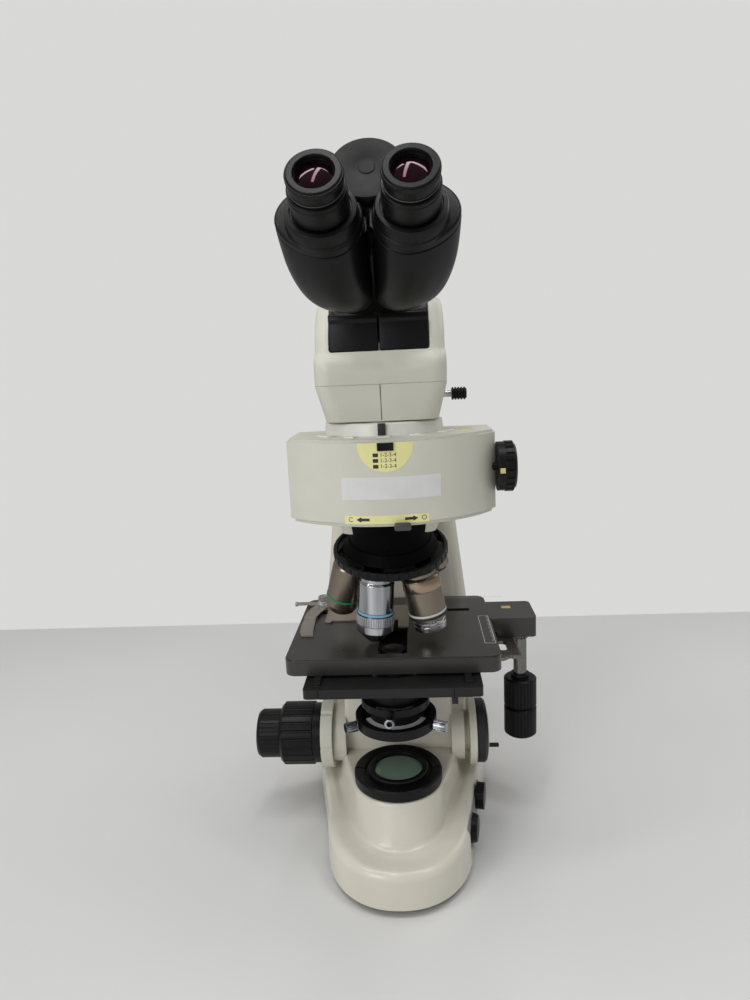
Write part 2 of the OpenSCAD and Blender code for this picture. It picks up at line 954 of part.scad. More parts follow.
module condenser_carriage() {
    back = block_y - slide_gap;
    color(black)
        difference() {
            union() {
                translate([0, 0, holder_z])
                    cylinder(r = holder_r, h = holder_t9);
                box(-18, 18, 20, back, holder_z, holder_z + 8);
                box(-20, 20, 32.5, back, holder_z + 7, holder_z + 35);
            }
            translate([0, 0, holder_z - 1])
                cylinder(r = 24, h = 12);
            translate([0, 0, holder_z + 1])
                cylinder(r = bore_r, h = 12);
            translate([0, 0, holder_z + 7.9])
                cylinder(r = aperture_r + 1, h = 40);
            along_x(-4.4, cond_axis_y, cond_pinion_z)
                cylinder(r = r_c + 1.2, h = 8.8);
            along_x(-30, cond_axis_y, cond_pinion_z)
                cylinder(r = 3 + run_gap, h = 38);
            box(-4.4, 4.4, cond_rack_y - 2, back + 1, holder_z - 1, holder_z + 40);
            for (s = [-1, 1])
                box(s * 12 - 2.3, s * 12 + 2.3, block_y - 4.3, back + 1, holder_z - 1, holder_z + 40);
            for (a = [180 + screw_turn, -screw_turn])
                translate([0, 0, holder_z + 4.5])
                    rotate([0, 90, a])
                        translate([0, 0, 20])
                            cylinder(r = 2 + run_gap, h = 30);
        }
}

module condenser_knob() {
    color(black) {
        along_x(-26, cond_axis_y, cond_pinion_z)
            cylinder(r = 3, h = 34);
        along_x(-4, cond_axis_y, cond_pinion_z)
            gear(condenser_m, gear_c, 8);
        along_x(-42, cond_axis_y, cond_pinion_z)
            ribbed(7.6, 21, 16, 0.6);
    }
}

module condenser_body() {
    z = holder_z;
    color(black)
        rotate_extrude()
            polygon([
                [0, z - 2], [22, z - 2], [22, z + 1], [bore_r - 0.3, z + 1], [bore_r - 0.3, z + 5.5],
                [25.6, z + 5.5], [25.6, z + 7.5], [23.5, z + 7.5], [23.5, z + 18.6], [20, z + 18.6],
                [20, z + 26.6], [24, z + 26.6], [24, z + 38], [14, z + 52], [11.5, z + 58],
                [11.5, nose_top - 1], [10.5, nose_top], [9.5, nose_top], [7, nose_top + 1.2],
                [4, nose_top + 1.8], [0, nose_top + 2]]);
}

module aperture_ring() {
    color(black)
        translate([0, 0, aperture_z])
            difference() {
                tube(aperture_r, 20 + run_gap, 7);
                translate([0, 0, 6])
                    tube(26, 24.6, 2);
            }
    color(steel)
        translate([0, 0, aperture_z + 3.5])
            rotate([0, 0, -5])
                rotate([90, 0, 0])
                    translate([0, 0, aperture_r - 1]) {
                        cylinder(r = 2.2, h = 4);
                        translate([0, 0, 4])
                            cylinder(r1 = 3, r2 = 4.4, h = 8);
                        translate([0, 0, 12])
                            tube(4.4, 2, 6);
                        translate([0, 0, 12])
                            cylinder(r = 2.2, h = 4);
                    }
}

module centring_screw(a) {
    color(steel)
        translate([0, 0, holder_z + 4.5])
            rotate([0, 90, a]) {
                translate([0, 0, bore_r])
                    cylinder(r = 2, h = 14);
                translate([0, 0, holder_r + 1.5])
                    ribbed(4.8, 11, 14, 0.5);
            }
}

// Nosepiece

module nose_frame() {
    translate([0, nose_y, nose_z])
        rotate([nose_tilt, 0, 0])
            children();
}

module on_port(k) {
    nose_frame()
        rotate(60 * k + nose_turn)
            translate([0, -port_pitch, 0])
                rotate([-nose_tilt, 0, 0])
                    children();
}

module nosepiece_mount() {
    color(black)
        difference() {
            union() {
                intersection() {
                    nose_frame()
                        translate([0, 0, ring_t + slide_gap]) {
                            cylinder(r1 = 44, r2 = 38, h = 9);
                            cylinder(r = 37, h = 90);
                        }
                    union() {
                        box(-90, 90, -90, 190, 200, arm_z);
                        box(-90, 90, -90, arm_front, arm_z - 1, limb_top);
                    }
                }
                nose_frame() {
                    translate([0, 0, -8])
                        cylinder(r = pivot_r, h = 22);
                    translate([0, 0, -10.5])
                        cylinder(r = 12, h = 3);
                }
            }
            translate([0, 0, seat_z - 20])
                cylinder(r = 6, h = 80);
        }
}

module nosepiece_ring() {
    slope = tan(nose_tilt);
    color(black)
        nose_frame()
            difference() {
                union() {
                    rotate_extrude()
                        polygon([
                            [pivot_r + run_gap, 1 + (pivot_r - port_pitch) * slope + 1.6],
                            [12.5, 1 + (12.5 - port_pitch) * slope + 0.4],
                            [nose_r - 5, 1 + (nose_r - 5 - port_pitch) * slope],
                            [nose_r - 4, 4], [nose_r - 1, 4.2],
                            [nose_r, 5.2], [nose_r, 11], [nose_r - 1, ring_t], [nose_r - 3.5, ring_t],
                            [nose_r - 4.5, ring_t - 2], [nose_r - 8, ring_t - 2], [nose_r - 8.5, ring_t],
                            [pivot_r + run_gap, ring_t]]);
                    for (k = [0 : 5])
                        rotate(60 * k + nose_turn)
                            translate([0, -port_pitch, 0])
                                rotate([-nose_tilt, 0, 0])
                                    cylinder(r = boss_r, h = 6);
                }
                for (k = [0 : 5])
                    rotate(60 * k + nose_turn)
                        translate([0, -port_pitch, 0])
                            rotate([-nose_tilt, 0, 0])
                                translate([0, 0, -5])
                                    cylinder(r = thread_r + 0.05, h = 30);
                for (k = [0 : 35])
                    rotate(10 * k)
                        translate([nose_r + 1.2, 0, 0])
                            cylinder(r = 2.2, h = 14, $fn = 24);
            }
}

// Barrel of an objective: stations of radius and depth below the seat.
module barrel(stations) {
    rotate_extrude()
        polygon(concat(
            [[0, 4.5], [thread_r, 4.5], [thread_r, 0]],
            [for (s = stations) [s[0], -s[1]]],
            [[0, -stations[len(stations) - 1][1]]]));
}

module objective_green() {
    color("#8f8572")
        on_port(-1)
            barrel([
                [14.4, 0], [14.4, 3], [15.5, 5], [15.5, 36], [14.8, 36], [14.8, 38.5],
                [15.5, 38.5], [15.5, 45],
                [13.5, 50], [9, 53.5], [6, 54.5]]);
}

module objective_blue() {
    color("#c4c7cb")
        on_port(0)
            barrel([
                [14.4, 0], [14.4, 3], [15.8, 5], [15.8, 30.5], [15.2, 30.5], [15.2, 33],
                [15.8, 33], [15.8, 33.4],
                [14, 33.4], [14, 42.8], [16.8, 42.8], [16.8, 49], [10, 56], [6.5, 59], [3, 59]]);
}

module correction_collar() {
    color("#aeb2b6")
        on_port(0)
            translate([0, 0, -42.6])
                difference() {
                    ribbed(17, 9, 48, 0.5);
                    translate([0, 0, -1])
                        cylinder(r = 14 + run_gap, h = 12);
                }
}

module objective_white() {
    color("#7f7464")
        on_port(1)
            difference() {
                barrel([
                    [14.4, 0], [14.4, 3], [17, 5], [17, 37], [16.3, 37], [16.3, 39.5], [17, 39.5], [17, 42],
                    [15.6, 42], [15.6, 44.5]]);
                translate([0, 0, -50])
                    cylinder(r = 14 + run_gap, h = 8.5);
                translate([0, 0, -50])
                    cylinder(r = 9 + run_gap, h = 18);
            }
}

module spring_tip() {
    color(steel)
        on_port(1) {
            translate([0, 0, -55])
                ribbed(14, 10, 30, 0.6);
            translate([0, 0, -58.6])
                cylinder(r1 = 6, r2 = 12, h = 3.6);
            translate([0, 0, -45.5])
                cylinder(r = 14, h = 1.8);
            translate([0, 0, -45.5])
                cylinder(r = 9, h = 10);
        }
}

module objective_red() {
    color("#8f8572")
        on_port(2)
            barrel([[14.4, 0], [14.4, 3], [13.5, 4], [13.5, 15], [12.5, 18], [8, 21]]);
}

module objective_yellow() {
    color("#8f8572")
        on_port(3)
            barrel([[14.4, 0], [14.4, 3], [13.5, 4], [13.5, 38], [11, 44], [6, 47]]);
}

// Epi attachment

module box_2d(inset) {
    intersection() {
        translate([0.5, box_front_r - 75])
            circle(box_front_r - inset, $fn = 180);
        polygon([
            [box_left + inset, box_back - inset], [box_left + inset, -40 + inset * 0.4],
            [-64 + inset * 0.6, -90], [68 - inset * 0.6, -90], [box_right - inset, -28 + inset * 0.4],
            [box_right - inset, box_back - inset]]);
    }
}

module filter_housing() {
    color(cream)
        difference() {
            union() {
                translate([0, 0, box_z])
                    linear_extrude(3)
                        box_2d(3);
                translate([0, 0, box_z + 3])
                    linear_extrude(box_h - 5)
                        box_2d(0);
                translate([0, 0, box_top - 2])
                    linear_extrude(2)
                        box_2d(2);
            }
            translate([0, 0, box_z + box_wall])
                linear_extrude(box_h - 2 * box_wall)
                    box_2d(box_wall);
            translate([0, 0, box_z - 1])
                cylinder(r = 14, h = box_wall + 2);
            translate([0, 0, box_top - box_wall - 1])
                cylinder(r = 20, h = box_wall + 2);
            translate([0, box_back + 1, lamp_axis_z])
                rotate([90, 0, 0])
                    cylinder(r = 20, h = box_wall + 4);
            along_x(box_right - 8, turret_y, filter_axis_z)
                cylinder(r = 3 + run_gap, h = 12);
            box(-26, 27, -78, -60, box_z + 4.3, box_z + 8.7);
        }
}

module filter_turret() {
    z = box_z + box_wall + slide_gap;
    color(black)
        translate([0, turret_y, z]) {
            difference() {
                cylinder(r = 41, h = 4);
                for (k = [0 : 3])
                    rotate(90 * k)
                        translate([0, -turret_y, -1])
                            cylinder(r = 10, h = 6);
            }
            cylinder(r = 6, h = filter_axis_z - z - 12);
            translate([0, 0, filter_axis_z - z - 14])
                cylinder(r = bevel_r, h = 4);
            translate([0, 0, filter_axis_z - z - bevel_r])
                cylinder(r1 = bevel_r - 0.3, r2 = bevel_r - 5.3, h = 5);
            for (k = [0 : 3])
                rotate(90 * k)
                    translate([0, -turret_y, 0])
                        difference() {
                            translate([-12, -12, 4])
                                cube([24, 24, 24]);
                            translate([0, 0, 3])
                                cylinder(r = 9.5, h = 40);
                            translate([0, 30, 16])
                                rotate([90, 0, 0])
                                    cylinder(r = 8.5, h = 32);
                        }
        }
}

module filter_knob() {
    color(black) {
        along_x(bevel_r + 0.5, turret_y, filter_axis_z)
            cylinder(r = 3, h = box_right - bevel_r + 1.5);
        along_x(bevel_r - 5, turret_y, filter_axis_z)
            cylinder(r1 = bevel_r - 5, r2 = bevel_r, h = 5);
        along_x(bevel_r, turret_y, filter_axis_z)
            cylinder(r = bevel_r, h = 1.5);
        along_x(box_right + 1, turret_y, filter_axis_z) {
            cylinder(r = filter_knob_r - 0.6, h = 6);
            translate([0, 0, 6])
                ribbed(filter_knob_r, 6.5, 20, 1.3);
            translate([0, 0, 12.5])
                cylinder(r1 = filter_knob_r - 0.8, r2 = filter_knob_r - 3, h = 2);
        }
    }
}

module shutter_slider() {
    color(black) {
        box(10, 20, -76, -69.8, box_z + 4.6, box_z + 8.4);
        translate([0, 0, box_z - 2.4])
            linear_extrude(10.4)
                rounded_2d(9.6, 20.4, -80, -75.4, 2);
    }
}

module illuminator_arm() {
    color(cream)
        difference() {
            union() {
                rounded_box(-arm_half_w, arm_half_w, box_back, arm_back, box_z, box_top - 6, 6);
                box(-arm_half_w, arm_half_w, box_back, box_back + 12, box_z, box_top - 6);
                translate([0, arm_back + 14, lamp_axis_z])
                    rotate([90, 0, 0])
                        cylinder(r = 29, h = 20);
            }
            translate([0, arm_back + 20, lamp_axis_z])
                rotate([90, 0, 0])
                    cylinder(r = 20, h = arm_back - box_back + 40);
            translate([0, arm_back + 15, lamp_axis_z])
                rotate([90, 0, 0])
                    cylinder(r = 25, h = 11);
        }
}

// Head

module head_ring() {
    color("#eceae2")
        translate([0, 0, box_top])
            rotate_extrude()
                polygon([
                    [21, 0], [mount_ring_r + 1, 0], [mount_ring_r, 9], [mount_ring_r - 2, 10],
                    [35, 10], [35, 11], [21, 11]]);
    color(black)
        box(-3, 3, -mount_ring_r - 2.5, -mount_ring_r + 0.3, box_top + 1, ring_top - 1);
}

module head_station(half_w, front, back, z, r) {
    for (s = [-1, 1]) {
        translate([s * (half_w - r), front + r, z])
            cylinder(r = r, h = 0.5, $fn = 32);
        translate([s * (half_w - 6), back - 6, z])
            cylinder(r = 6, h = 0.5, $fn = 32);
    }
}

module head_lower() {
    w = head_half_w;
    color(cream)
        difference() {
            hull() {
                head_station(w - 7, -40, 76, head_z, 16);
                head_station(w, -45, 84, seam_z - 0.5, 14);
            }
            hull() {
                head_station(w - 11, -36, 72, head_z + 4, 14);
                head_station(w - 4, -41, 80, seam_z + 0.5, 12);
            }
            translate([0, 0, head_z - 1])
                cylinder(r = 20, h = 6);
            box(-0.3, 0.3, -47, -43.6, head_z + 1, seam_z + 1);
            along_x(w - 20, -8, head_z + 18)
                cylinder(r = 2.6 + run_gap, h = 30);
        }
}

module head_upper() {
    w = head_half_w;
    color(cream)
        difference() {
            hull() {
                head_station(w, -45, 84, seam_z, 14);
                head_station(w, -47, 85, ledge_z, 14);
                head_station(w - 1, -38, 84, notch_z, 12);
                head_station(w - 1, -16, 76, cheek_z - 6, 10);
                head_station(w - 4, -10, 72, cheek_z - 0.5, 10);
            }
            hull() {
                head_station(w - 4, -41, 80, seam_z - 1, 12);
                head_station(w - 6, -36, 78, notch_z - 8, 10);
            }
            box(-notch_half_w, notch_half_w, -80, 40, notch_z, cheek_z + 10);
            box(-20, 20, -20, 30, notch_z - 12, notch_z + 1);
            along_x(-w + 4, pivot_y, pivot_z)
                cylinder(r = 6 + run_gap, h = 2 * w - 8);
            translate([0, 60, notch_z - 20])
                cylinder(r = 9, h = 90);
        }
}

module tilt_cover() {
    h = 29;
    color(black)
        difference() {
            along_x(-notch_half_w + 0.5, 0, notch_z)
                linear_extrude(2 * notch_half_w - 1)
                    polygon([
                        [-37, 0], [-34, h - 6], [-35.8, h - 5], [-35, h], [-29, h], [-28, h - 3],
                        [-28, 0]]);
            box(-0.4, 0.4, -48, -35.2, notch_z - 1, notch_z + 40);
        }
}

// Frame of the eyepieces: Z runs towards the viewer, Y up, origin in the centre of the hinge disc.
module eye_frame() {
    translate([0, disc_y, disc_z])
        rotate([90 - tube_rise, 0, 0])
            children();
}

module tilt_arm() {
    color(black) {
        along_x(-notch_half_w - 8, pivot_y, pivot_z)
            cylinder(r = 6, h = 2 * notch_half_w + 16);
        along_x(-notch_half_w + slide_gap, pivot_y, pivot_z)
            cylinder(r = 17, h = 2 * notch_half_w - 2 * slide_gap);
        hull() {
            along_x(-26, pivot_y, pivot_z)
                cylinder(r = 9, h = 52, $fn = 32);
            eye_frame()
                translate([-18, -7, -46])
                    cube([36, 20, 16]);
        }
        eye_frame() {
            translate([0, 0, -52])
                cylinder(r = 24, h = 42.6);
            translate([0, 0, -12])
                cylinder(r = pin_r, h = 14);
            translate([0, 0, -0.6])
                rotate_extrude()
                    polygon([
                        [0, 0], [disc_r, 0], [disc_r, 3.6], [disc_r - 1, 4.6], [13, 4.6], [11, 3.4],
                        [6, 2.6], [5, 3.2], [0, 3.6]]);
        }
    }
}

// One prism wing, drawn for the right side in the frame of the eyepieces.
module wing(layer) {
    difference() {
        union() {
            difference() {
                hull() {
                    translate([half_ipd + 3, -eye_drop, 4])
                        cylinder(r1 = 28, r2 = 26, h = 3, $fn = 48);
                    translate([half_ipd + 2, -eye_drop + 2, -14])
                        cylinder(r = 27, h = 1, $fn = 48);
                    translate([half_ipd - 2, -eye_drop - 2, -40])
                        cylinder(r = 24, h = 1, $fn = 48);
                    translate([half_ipd - 9, -eye_drop - 3, -62])
                        cylinder(r = 17, h = 1, $fn = 48);
                    translate([half_ipd - 14, -eye_drop - 6, -72])
                        cylinder(r = 11, h = 1, $fn = 48);
                }
                translate([0, 0, -80])
                    cylinder(r = 30, h = 100);
            }
            translate([half_ipd, -eye_drop, 6])
                cylinder(r1 = 23.5, r2 = 22, h = 11);
            translate([0, 0, layer])
                linear_extrude(3.6)
                    intersection() {
                        union() {
                            circle(22);
                            polygon([[-14, -16], [8, -64], [46, -64], [50, -26], [16, 16]]);
                        }
                        union() {
                            circle(29);
                            translate([1.5, -70])
                                square([60, 60]);
                        }
                    }
        }
        translate([-60 + 1.2, -120, -90])
            cube([60, 92, 120]);
        translate([half_ipd, -eye_drop, -24])
            cylinder(r = 15 + run_gap, h = 60);
        translate([0, 0, -20])
            cylinder(r = pin_r + run_gap, h = 40);
        translate([0, 0, -1.1])
            cylinder(r = disc_r + 1, h = 30);
        for (k = [0 : 5])
            translate([0, -eye_drop - 22, -16 - 9 * k])
                cube([4, 34, 2.4], center = true);
    }
}

module wing_right() {
    color(black)
        eye_frame()
            wing(-4.8);
}

module wing_left() {
    color(black)
        eye_frame()
            mirror([1, 0, 0])
                wing(-8.9);
}

module eyepiece(side) {
    color(black)
        eye_frame()
            translate([side * half_ipd, -eye_drop, 0]) {
                translate([0, 0, -20])
                    cylinder(r = 15, h = 38);
                translate([0, 0, 17.4])
                    rotate_extrude()
                        polygon([
                            [0, 0], [18.2, 0], [18.5, 0.5], [18.5, 15.6], [17.8, 16.6], [0, 16.6]]);
                difference() {
                    translate([0, 0, 33.5])
                        ribbed(eye_r, 13, 72, 0.28);
                    translate([0, 0, 38])
                        cylinder(r1 = 10.5, r2 = 13, h = 10);
                }
            }
}

module eyepiece_left() {
    eyepiece(-1);
}

module eyepiece_right() {
    eyepiece(1);
}

module light_path_rod() {
    w = head_half_w;
    color(steel)
        along_x(w - 12, -8, head_z + 18)
            cylinder(r = 2.6, h = 17);
    color(black)
        along_x(w + 4.5, -8, head_z + 18)
            rotate_extrude()
                polygon(concat(
                    [[0, 0]],
                    [for (k = [0 : 5]) each [
                        [4.3, 2.1 * k], [5.2, 2.1 * k + 0.3], [5.2, 2.1 * k + 1.4], [4.3, 2.1 * k + 1.7]]],
                    [[4.3, 12.4], [0, 12.4]]));
}

base_casting();
base_cover();
rubber_feet();
limb();
lamp_cover();
halogen_lamp();
field_mirror();
field_cell();
field_ring();
field_lens();
control_panel();
brightness_dial();
power_switch();
torque_ring();
coarse_shaft();
coarse_knob();
fine_knob();
fine_disc();
focus_layshaft();
stage_carrier();
stage_lower_plate();
stage_y_rack();
stage_top_plate();
x_carriage();
slide_holder();
slide_clip();
clip_knob();
y_shaft();
y_knob();
x_knob();
condenser_carriage();
condenser_knob();
condenser_body();
aperture_ring();
centring_screw(180 + screw_turn);  // centring_screw_left
centring_screw(-screw_turn);  // centring_screw_right
nosepiece_mount();
nosepiece_ring();
objective_green();
objective_blue();
correction_collar();
objective_white();
spring_tip();
objective_red();
objective_yellow();
filter_housing();
filter_turret();
filter_knob();
shutter_slider();
illuminator_arm();
head_ring();
head_lower();
head_upper();
tilt_cover();
tilt_arm();
wing_left();
wing_right();
eyepiece_left();
eyepiece_right();
light_path_rod();
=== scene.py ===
# %% [markdown]
# # The looks of an upright microscope
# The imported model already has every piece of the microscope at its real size. This lesson keeps those
# pieces where they are, gives each one a finish, and adds the small forms that only show close up:
# printed scales, lenses, colour rings and soft moulded edges. Everything is in metres, X to the right, Y
# to the back, Z up.

# %% Load the frame
import bpy
import bmesh
import json
import math
from mathutils import Matrix, Vector


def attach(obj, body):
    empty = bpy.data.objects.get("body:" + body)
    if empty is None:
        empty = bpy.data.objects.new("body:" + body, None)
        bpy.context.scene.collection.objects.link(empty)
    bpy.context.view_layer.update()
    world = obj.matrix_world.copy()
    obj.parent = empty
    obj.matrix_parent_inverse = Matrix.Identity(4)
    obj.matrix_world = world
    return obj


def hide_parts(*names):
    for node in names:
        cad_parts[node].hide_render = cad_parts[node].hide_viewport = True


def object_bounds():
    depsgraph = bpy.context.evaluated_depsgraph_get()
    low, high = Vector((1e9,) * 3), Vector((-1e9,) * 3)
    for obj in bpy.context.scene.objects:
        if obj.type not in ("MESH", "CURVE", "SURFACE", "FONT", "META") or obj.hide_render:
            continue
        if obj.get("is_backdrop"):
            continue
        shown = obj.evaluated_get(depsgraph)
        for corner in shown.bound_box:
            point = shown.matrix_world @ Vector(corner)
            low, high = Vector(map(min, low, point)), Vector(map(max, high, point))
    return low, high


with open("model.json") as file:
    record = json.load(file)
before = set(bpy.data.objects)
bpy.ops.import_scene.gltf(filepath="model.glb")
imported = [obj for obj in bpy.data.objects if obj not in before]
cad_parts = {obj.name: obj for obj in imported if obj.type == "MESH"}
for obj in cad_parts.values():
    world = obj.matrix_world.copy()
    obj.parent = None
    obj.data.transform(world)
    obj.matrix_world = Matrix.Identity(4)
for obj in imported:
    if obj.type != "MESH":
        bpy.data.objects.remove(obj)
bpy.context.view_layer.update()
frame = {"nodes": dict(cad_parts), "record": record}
print("nodes loaded:", len(frame["nodes"]))

# %% [markdown]
# ## Camera
# The photograph was taken from a little above the field lens, with a phone held upright. A camera is a
# place, three directions and a lens. The directions are the columns of its matrix, and Blender's camera
# looks down its own minus Z, so the forward direction goes in with its sign turned round.

# %% Camera
MM = 0.001
eye_point = Vector((23.24, -590.93, 450.76)) * MM
look_right = Vector((0.99785, 0.04850, -0.04411))
look_up = Vector((0.03421, 0.18867, 0.98145))
look_back = look_right.cross(look_up)
focal_pixels = 696.4
picture_height = 1000
sensor = 36.0

camera_data = bpy.data.cameras.new("camera")
camera = bpy.data.objects.new("camera", camera_data)
bpy.context.scene.collection.objects.link(camera)
columns = [look_right, look_up, look_back]
turn = Matrix([[c[i] for c in columns] for i in range(3)]).to_4x4()
camera.matrix_world = Matrix.Translation(eye_point) @ turn
camera_data.sensor_width = sensor
camera_data.lens = focal_pixels / picture_height * sensor
camera_data.clip_start = 0.01
camera_data.clip_end = 50
bpy.context.scene.camera = camera
print("lens", round(camera_data.lens, 2), "mm")

# %% [markdown]
# ## Materials, the common recipe
# A real finish is never one flat colour. Paint has a faint mottle and an orange-peel skin, moulded
# plastic has a fine grain, and edges catch the light because they are slightly round. One recipe gives
# all of that: one noise for the colour, one for the gloss, one for the skin, and a Bevel node that rounds
# the edges for the light only. What is the same all over is set straight on the shader's sockets.

# %% Common recipe
def new_material(name):
    material = bpy.data.materials.new(name)
    material.use_nodes = True
    return material, material.node_tree, material.node_tree.nodes["Principled BSDF"]


def noise(tree, scale, detail=3.0, stretch=(1, 1, 1)):
    place = tree.nodes.new("ShaderNodeTexCoord")
    mapping = tree.nodes.new("ShaderNodeMapping")
    mapping.inputs["Scale"].default_value = stretch
    pattern = tree.nodes.new("ShaderNodeTexNoise")
    pattern.inputs["Scale"].default_value = scale
    pattern.inputs["Detail"].default_value = detail
    tree.links.new(place.outputs["Object"], mapping.inputs["Vector"])
    tree.links.new(mapping.outputs["Vector"], pattern.inputs["Vector"])
    return pattern.outputs["Fac"]


def ramp(tree, source, low, high, start=0.35, end=0.65):
    node = tree.nodes.new("ShaderNodeValToRGB")
    node.color_ramp.elements[0].position = start
    node.color_ramp.elements[0].color = (*low, 1)
    node.color_ramp.elements[1].position = end
    node.color_ramp.elements[1].color = (*high, 1)
    tree.links.new(source, node.inputs["Fac"])
    return node.outputs["Color"]


def spread(tree, source, low, high):
    node = tree.nodes.new("ShaderNodeMapRange")
    node.inputs["To Min"].default_value = low
    node.inputs["To Max"].default_value = high
    tree.links.new(source, node.inputs["Value"])
    return node.outputs["Result"]


WEAR_SCALE, WEAR_SPREAD = 4, 0.18
SKIN_DEPTH = 0.0004
COAT_GLOSS = 0.15


def finish(name, colour, gloss, metal=0.0, mottle=0.06, mottle_scale=25, grain=900, skin=0.03,
           edge=0.0006, stretch=(1, 1, 1), coat=0.0, sheen=0.5):
    material, tree, shader = new_material(name)
    dark = [max(0.0, c * (1 - mottle)) for c in colour]
    light = [min(1.0, c * (1 + mottle)) for c in colour]
    tint = ramp(tree, noise(tree, mottle_scale, stretch=stretch), dark, light)
    tree.links.new(tint, shader.inputs["Base Color"])
    wear = noise(tree, mottle_scale * WEAR_SCALE, 5.0, stretch)
    worn = spread(tree, wear, gloss * (1 - WEAR_SPREAD), gloss * (1 + WEAR_SPREAD))
    tree.links.new(worn, shader.inputs["Roughness"])
    soft_edge = tree.nodes.new("ShaderNodeBevel")
    soft_edge.samples = 4
    soft_edge.inputs["Radius"].default_value = edge
    bump = tree.nodes.new("ShaderNodeBump")
    bump.inputs["Strength"].default_value = skin
    bump.inputs["Distance"].default_value = SKIN_DEPTH
    tree.links.new(noise(tree, grain, 2.0, stretch), bump.inputs["Height"])
    tree.links.new(soft_edge.outputs["Normal"], bump.inputs["Normal"])
    tree.links.new(bump.outputs["Normal"], shader.inputs["Normal"])
    shader.inputs["Metallic"].default_value = metal
    shader.inputs["Coat Weight"].default_value = coat
    shader.inputs["Coat Roughness"].default_value = COAT_GLOSS
    shader.inputs["Specular IOR Level"].default_value = sheen
    return material


# %% [markdown]
# ## The finishes of this microscope
# The castings are cream enamel over metal, the head and filter housing are cream moulded plastic, and the
# grips are black plastic with a fine spark-eroded grain. The stage is dark warm grey, almost brown where
# light grazes it. The objectives are chrome or champagne-coloured metal.

# %% Finishes
FINISHES = {
    "cream_paint": finish("cream_enamel", (0.70, 0.67, 0.575), 0.30, mottle=0.03, skin=0.05,
                          edge=0.0012, coat=0.25),
    "cream_plastic": finish("cream_moulding", (0.65, 0.645, 0.56), 0.42, mottle=0.03, grain=1500,
                            skin=0.05, edge=0.0010),
    "black_plastic": finish("black_moulding", (0.0045, 0.0045, 0.005), 0.34, mottle=0.2, grain=2200,
                            skin=0.08, sheen=0.22),
    "black_paint": finish("black_satin_paint", (0.005, 0.005, 0.006), 0.38, mottle=0.2, grain=1400,
                          skin=0.06, sheen=0.24),
    "stage_paint": finish("stage_enamel", (0.028, 0.025, 0.0225), 0.30, mottle=0.15, grain=1600,
                          skin=0.05, sheen=0.6),
    "carrier_alloy": finish("black_anodised", (0.005, 0.005, 0.006), 0.42, mottle=0.2, skin=0.06,
                            sheen=0.24),
    "bare_steel": finish("turned_steel", (0.19, 0.185, 0.175), 0.24, metal=1.0, mottle=0.08,
                         stretch=(1, 1, 30), grain=500, skin=0.05),
    "rack_steel": finish("bronzed_steel", (0.19, 0.17, 0.145), 0.35, metal=0.9, mottle=0.2,
                         stretch=(1, 12, 1), skin=0.08),
    "gear_brass": finish("gear_brass", (0.62, 0.46, 0.20), 0.32, metal=1.0, mottle=0.1),
    "foot_rubber": finish("foot_rubber", (0.02, 0.02, 0.02), 0.75, mottle=0.2, skin=0.2),
    "grey_panel": finish("panel_grey", (0.26, 0.27, 0.26), 0.5, mottle=0.05),
    "holder_paint": finish("holder_bronze", (0.33, 0.29, 0.25), 0.36, metal=0.5, mottle=0.08, skin=0.06),
    "champagne_metal": finish("champagne_metal", (0.25, 0.21, 0.165), 0.25, metal=0.9, mottle=0.04,
                              mottle_scale=12, skin=0.0),
    "chrome_metal": finish("chrome_plate", (0.37, 0.38, 0.40), 0.13, metal=1.0, mottle=0.5,
                           mottle_scale=90, stretch=(1, 1, 0.04), skin=0.02),
}


def glass(name, colour, gloss, density=0.6):
    material, tree, shader = new_material(name)
    tint = ramp(tree, noise(tree, 30), [c * 0.94 for c in colour], colour)
    tree.links.new(tint, shader.inputs["Base Color"])
    tree.links.new(spread(tree, noise(tree, 90, 4), gloss * 0.6, gloss * 1.4), shader.inputs["Roughness"])
    shader.inputs["Transmission Weight"].default_value = density
    shader.inputs["IOR"].default_value = 1.5
    return material


FINISHES["lens_glass"] = glass("green_coated_glass", (0.46, 0.62, 0.50), 0.04, 0.75)
FINISHES["clear_plastic"] = glass("clear_acrylic", (0.86, 0.88, 0.88), 0.06, 0.85)
FINISHES["mirror_glass"] = finish("front_mirror", (0.85, 0.86, 0.87), 0.04, metal=1.0, mottle=0.02,
                                  skin=0.0)

slots = {row["node"]: row["material_slot"] for row in frame["record"]["subparts"]}
for node, piece in frame["nodes"].items():
    piece.data.materials.clear()
    piece.data.materials.append(FINISHES[slots[node]])
print("finishes:", len(FINISHES))

# %% [markdown]
# ## Helpers for new pieces
# Every new piece starts with nothing selected and ends the same way: its place goes into its mesh, so
# that its object sits at the origin, it gets a finish, and it rides on the CAD body that carries it.

# %% Helpers for new pieces
def nothing_selected():
    if bpy.context.object and bpy.context.object.mode != "OBJECT":
        bpy.ops.object.mode_set(mode="OBJECT")
    bpy.ops.object.select_all(action="DESELECT")


def take(piece):
    nothing_selected()
    piece.select_set(True)
    bpy.context.view_layer.objects.active = piece


def modify(piece, kind, **settings):
    take(piece)
    modifier = piece.modifiers.new(kind.lower(), kind)
    for key, value in settings.items():
        setattr(modifier, key, value)
    bpy.ops.object.modifier_apply(modifier=modifier.name)


def settle(piece, name, body, material, place=None, angle=35):
    take(piece)
    if place is not None:
        piece.matrix_world = place @ piece.matrix_world
    bpy.ops.object.transform_apply(location=True, rotation=True, scale=True)
    bpy.ops.object.mode_set(mode="EDIT")
    bpy.ops.mesh.select_all(action="SELECT")
    bpy.ops.mesh.normals_make_consistent(inside=False)
    bpy.ops.object.mode_set(mode="OBJECT")
    bpy.ops.object.shade_smooth_by_angle(angle=math.radians(angle))
    piece.name = name
    piece.data.materials.clear()
    piece.data.materials.append(material)
    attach(piece, body)
    return piece


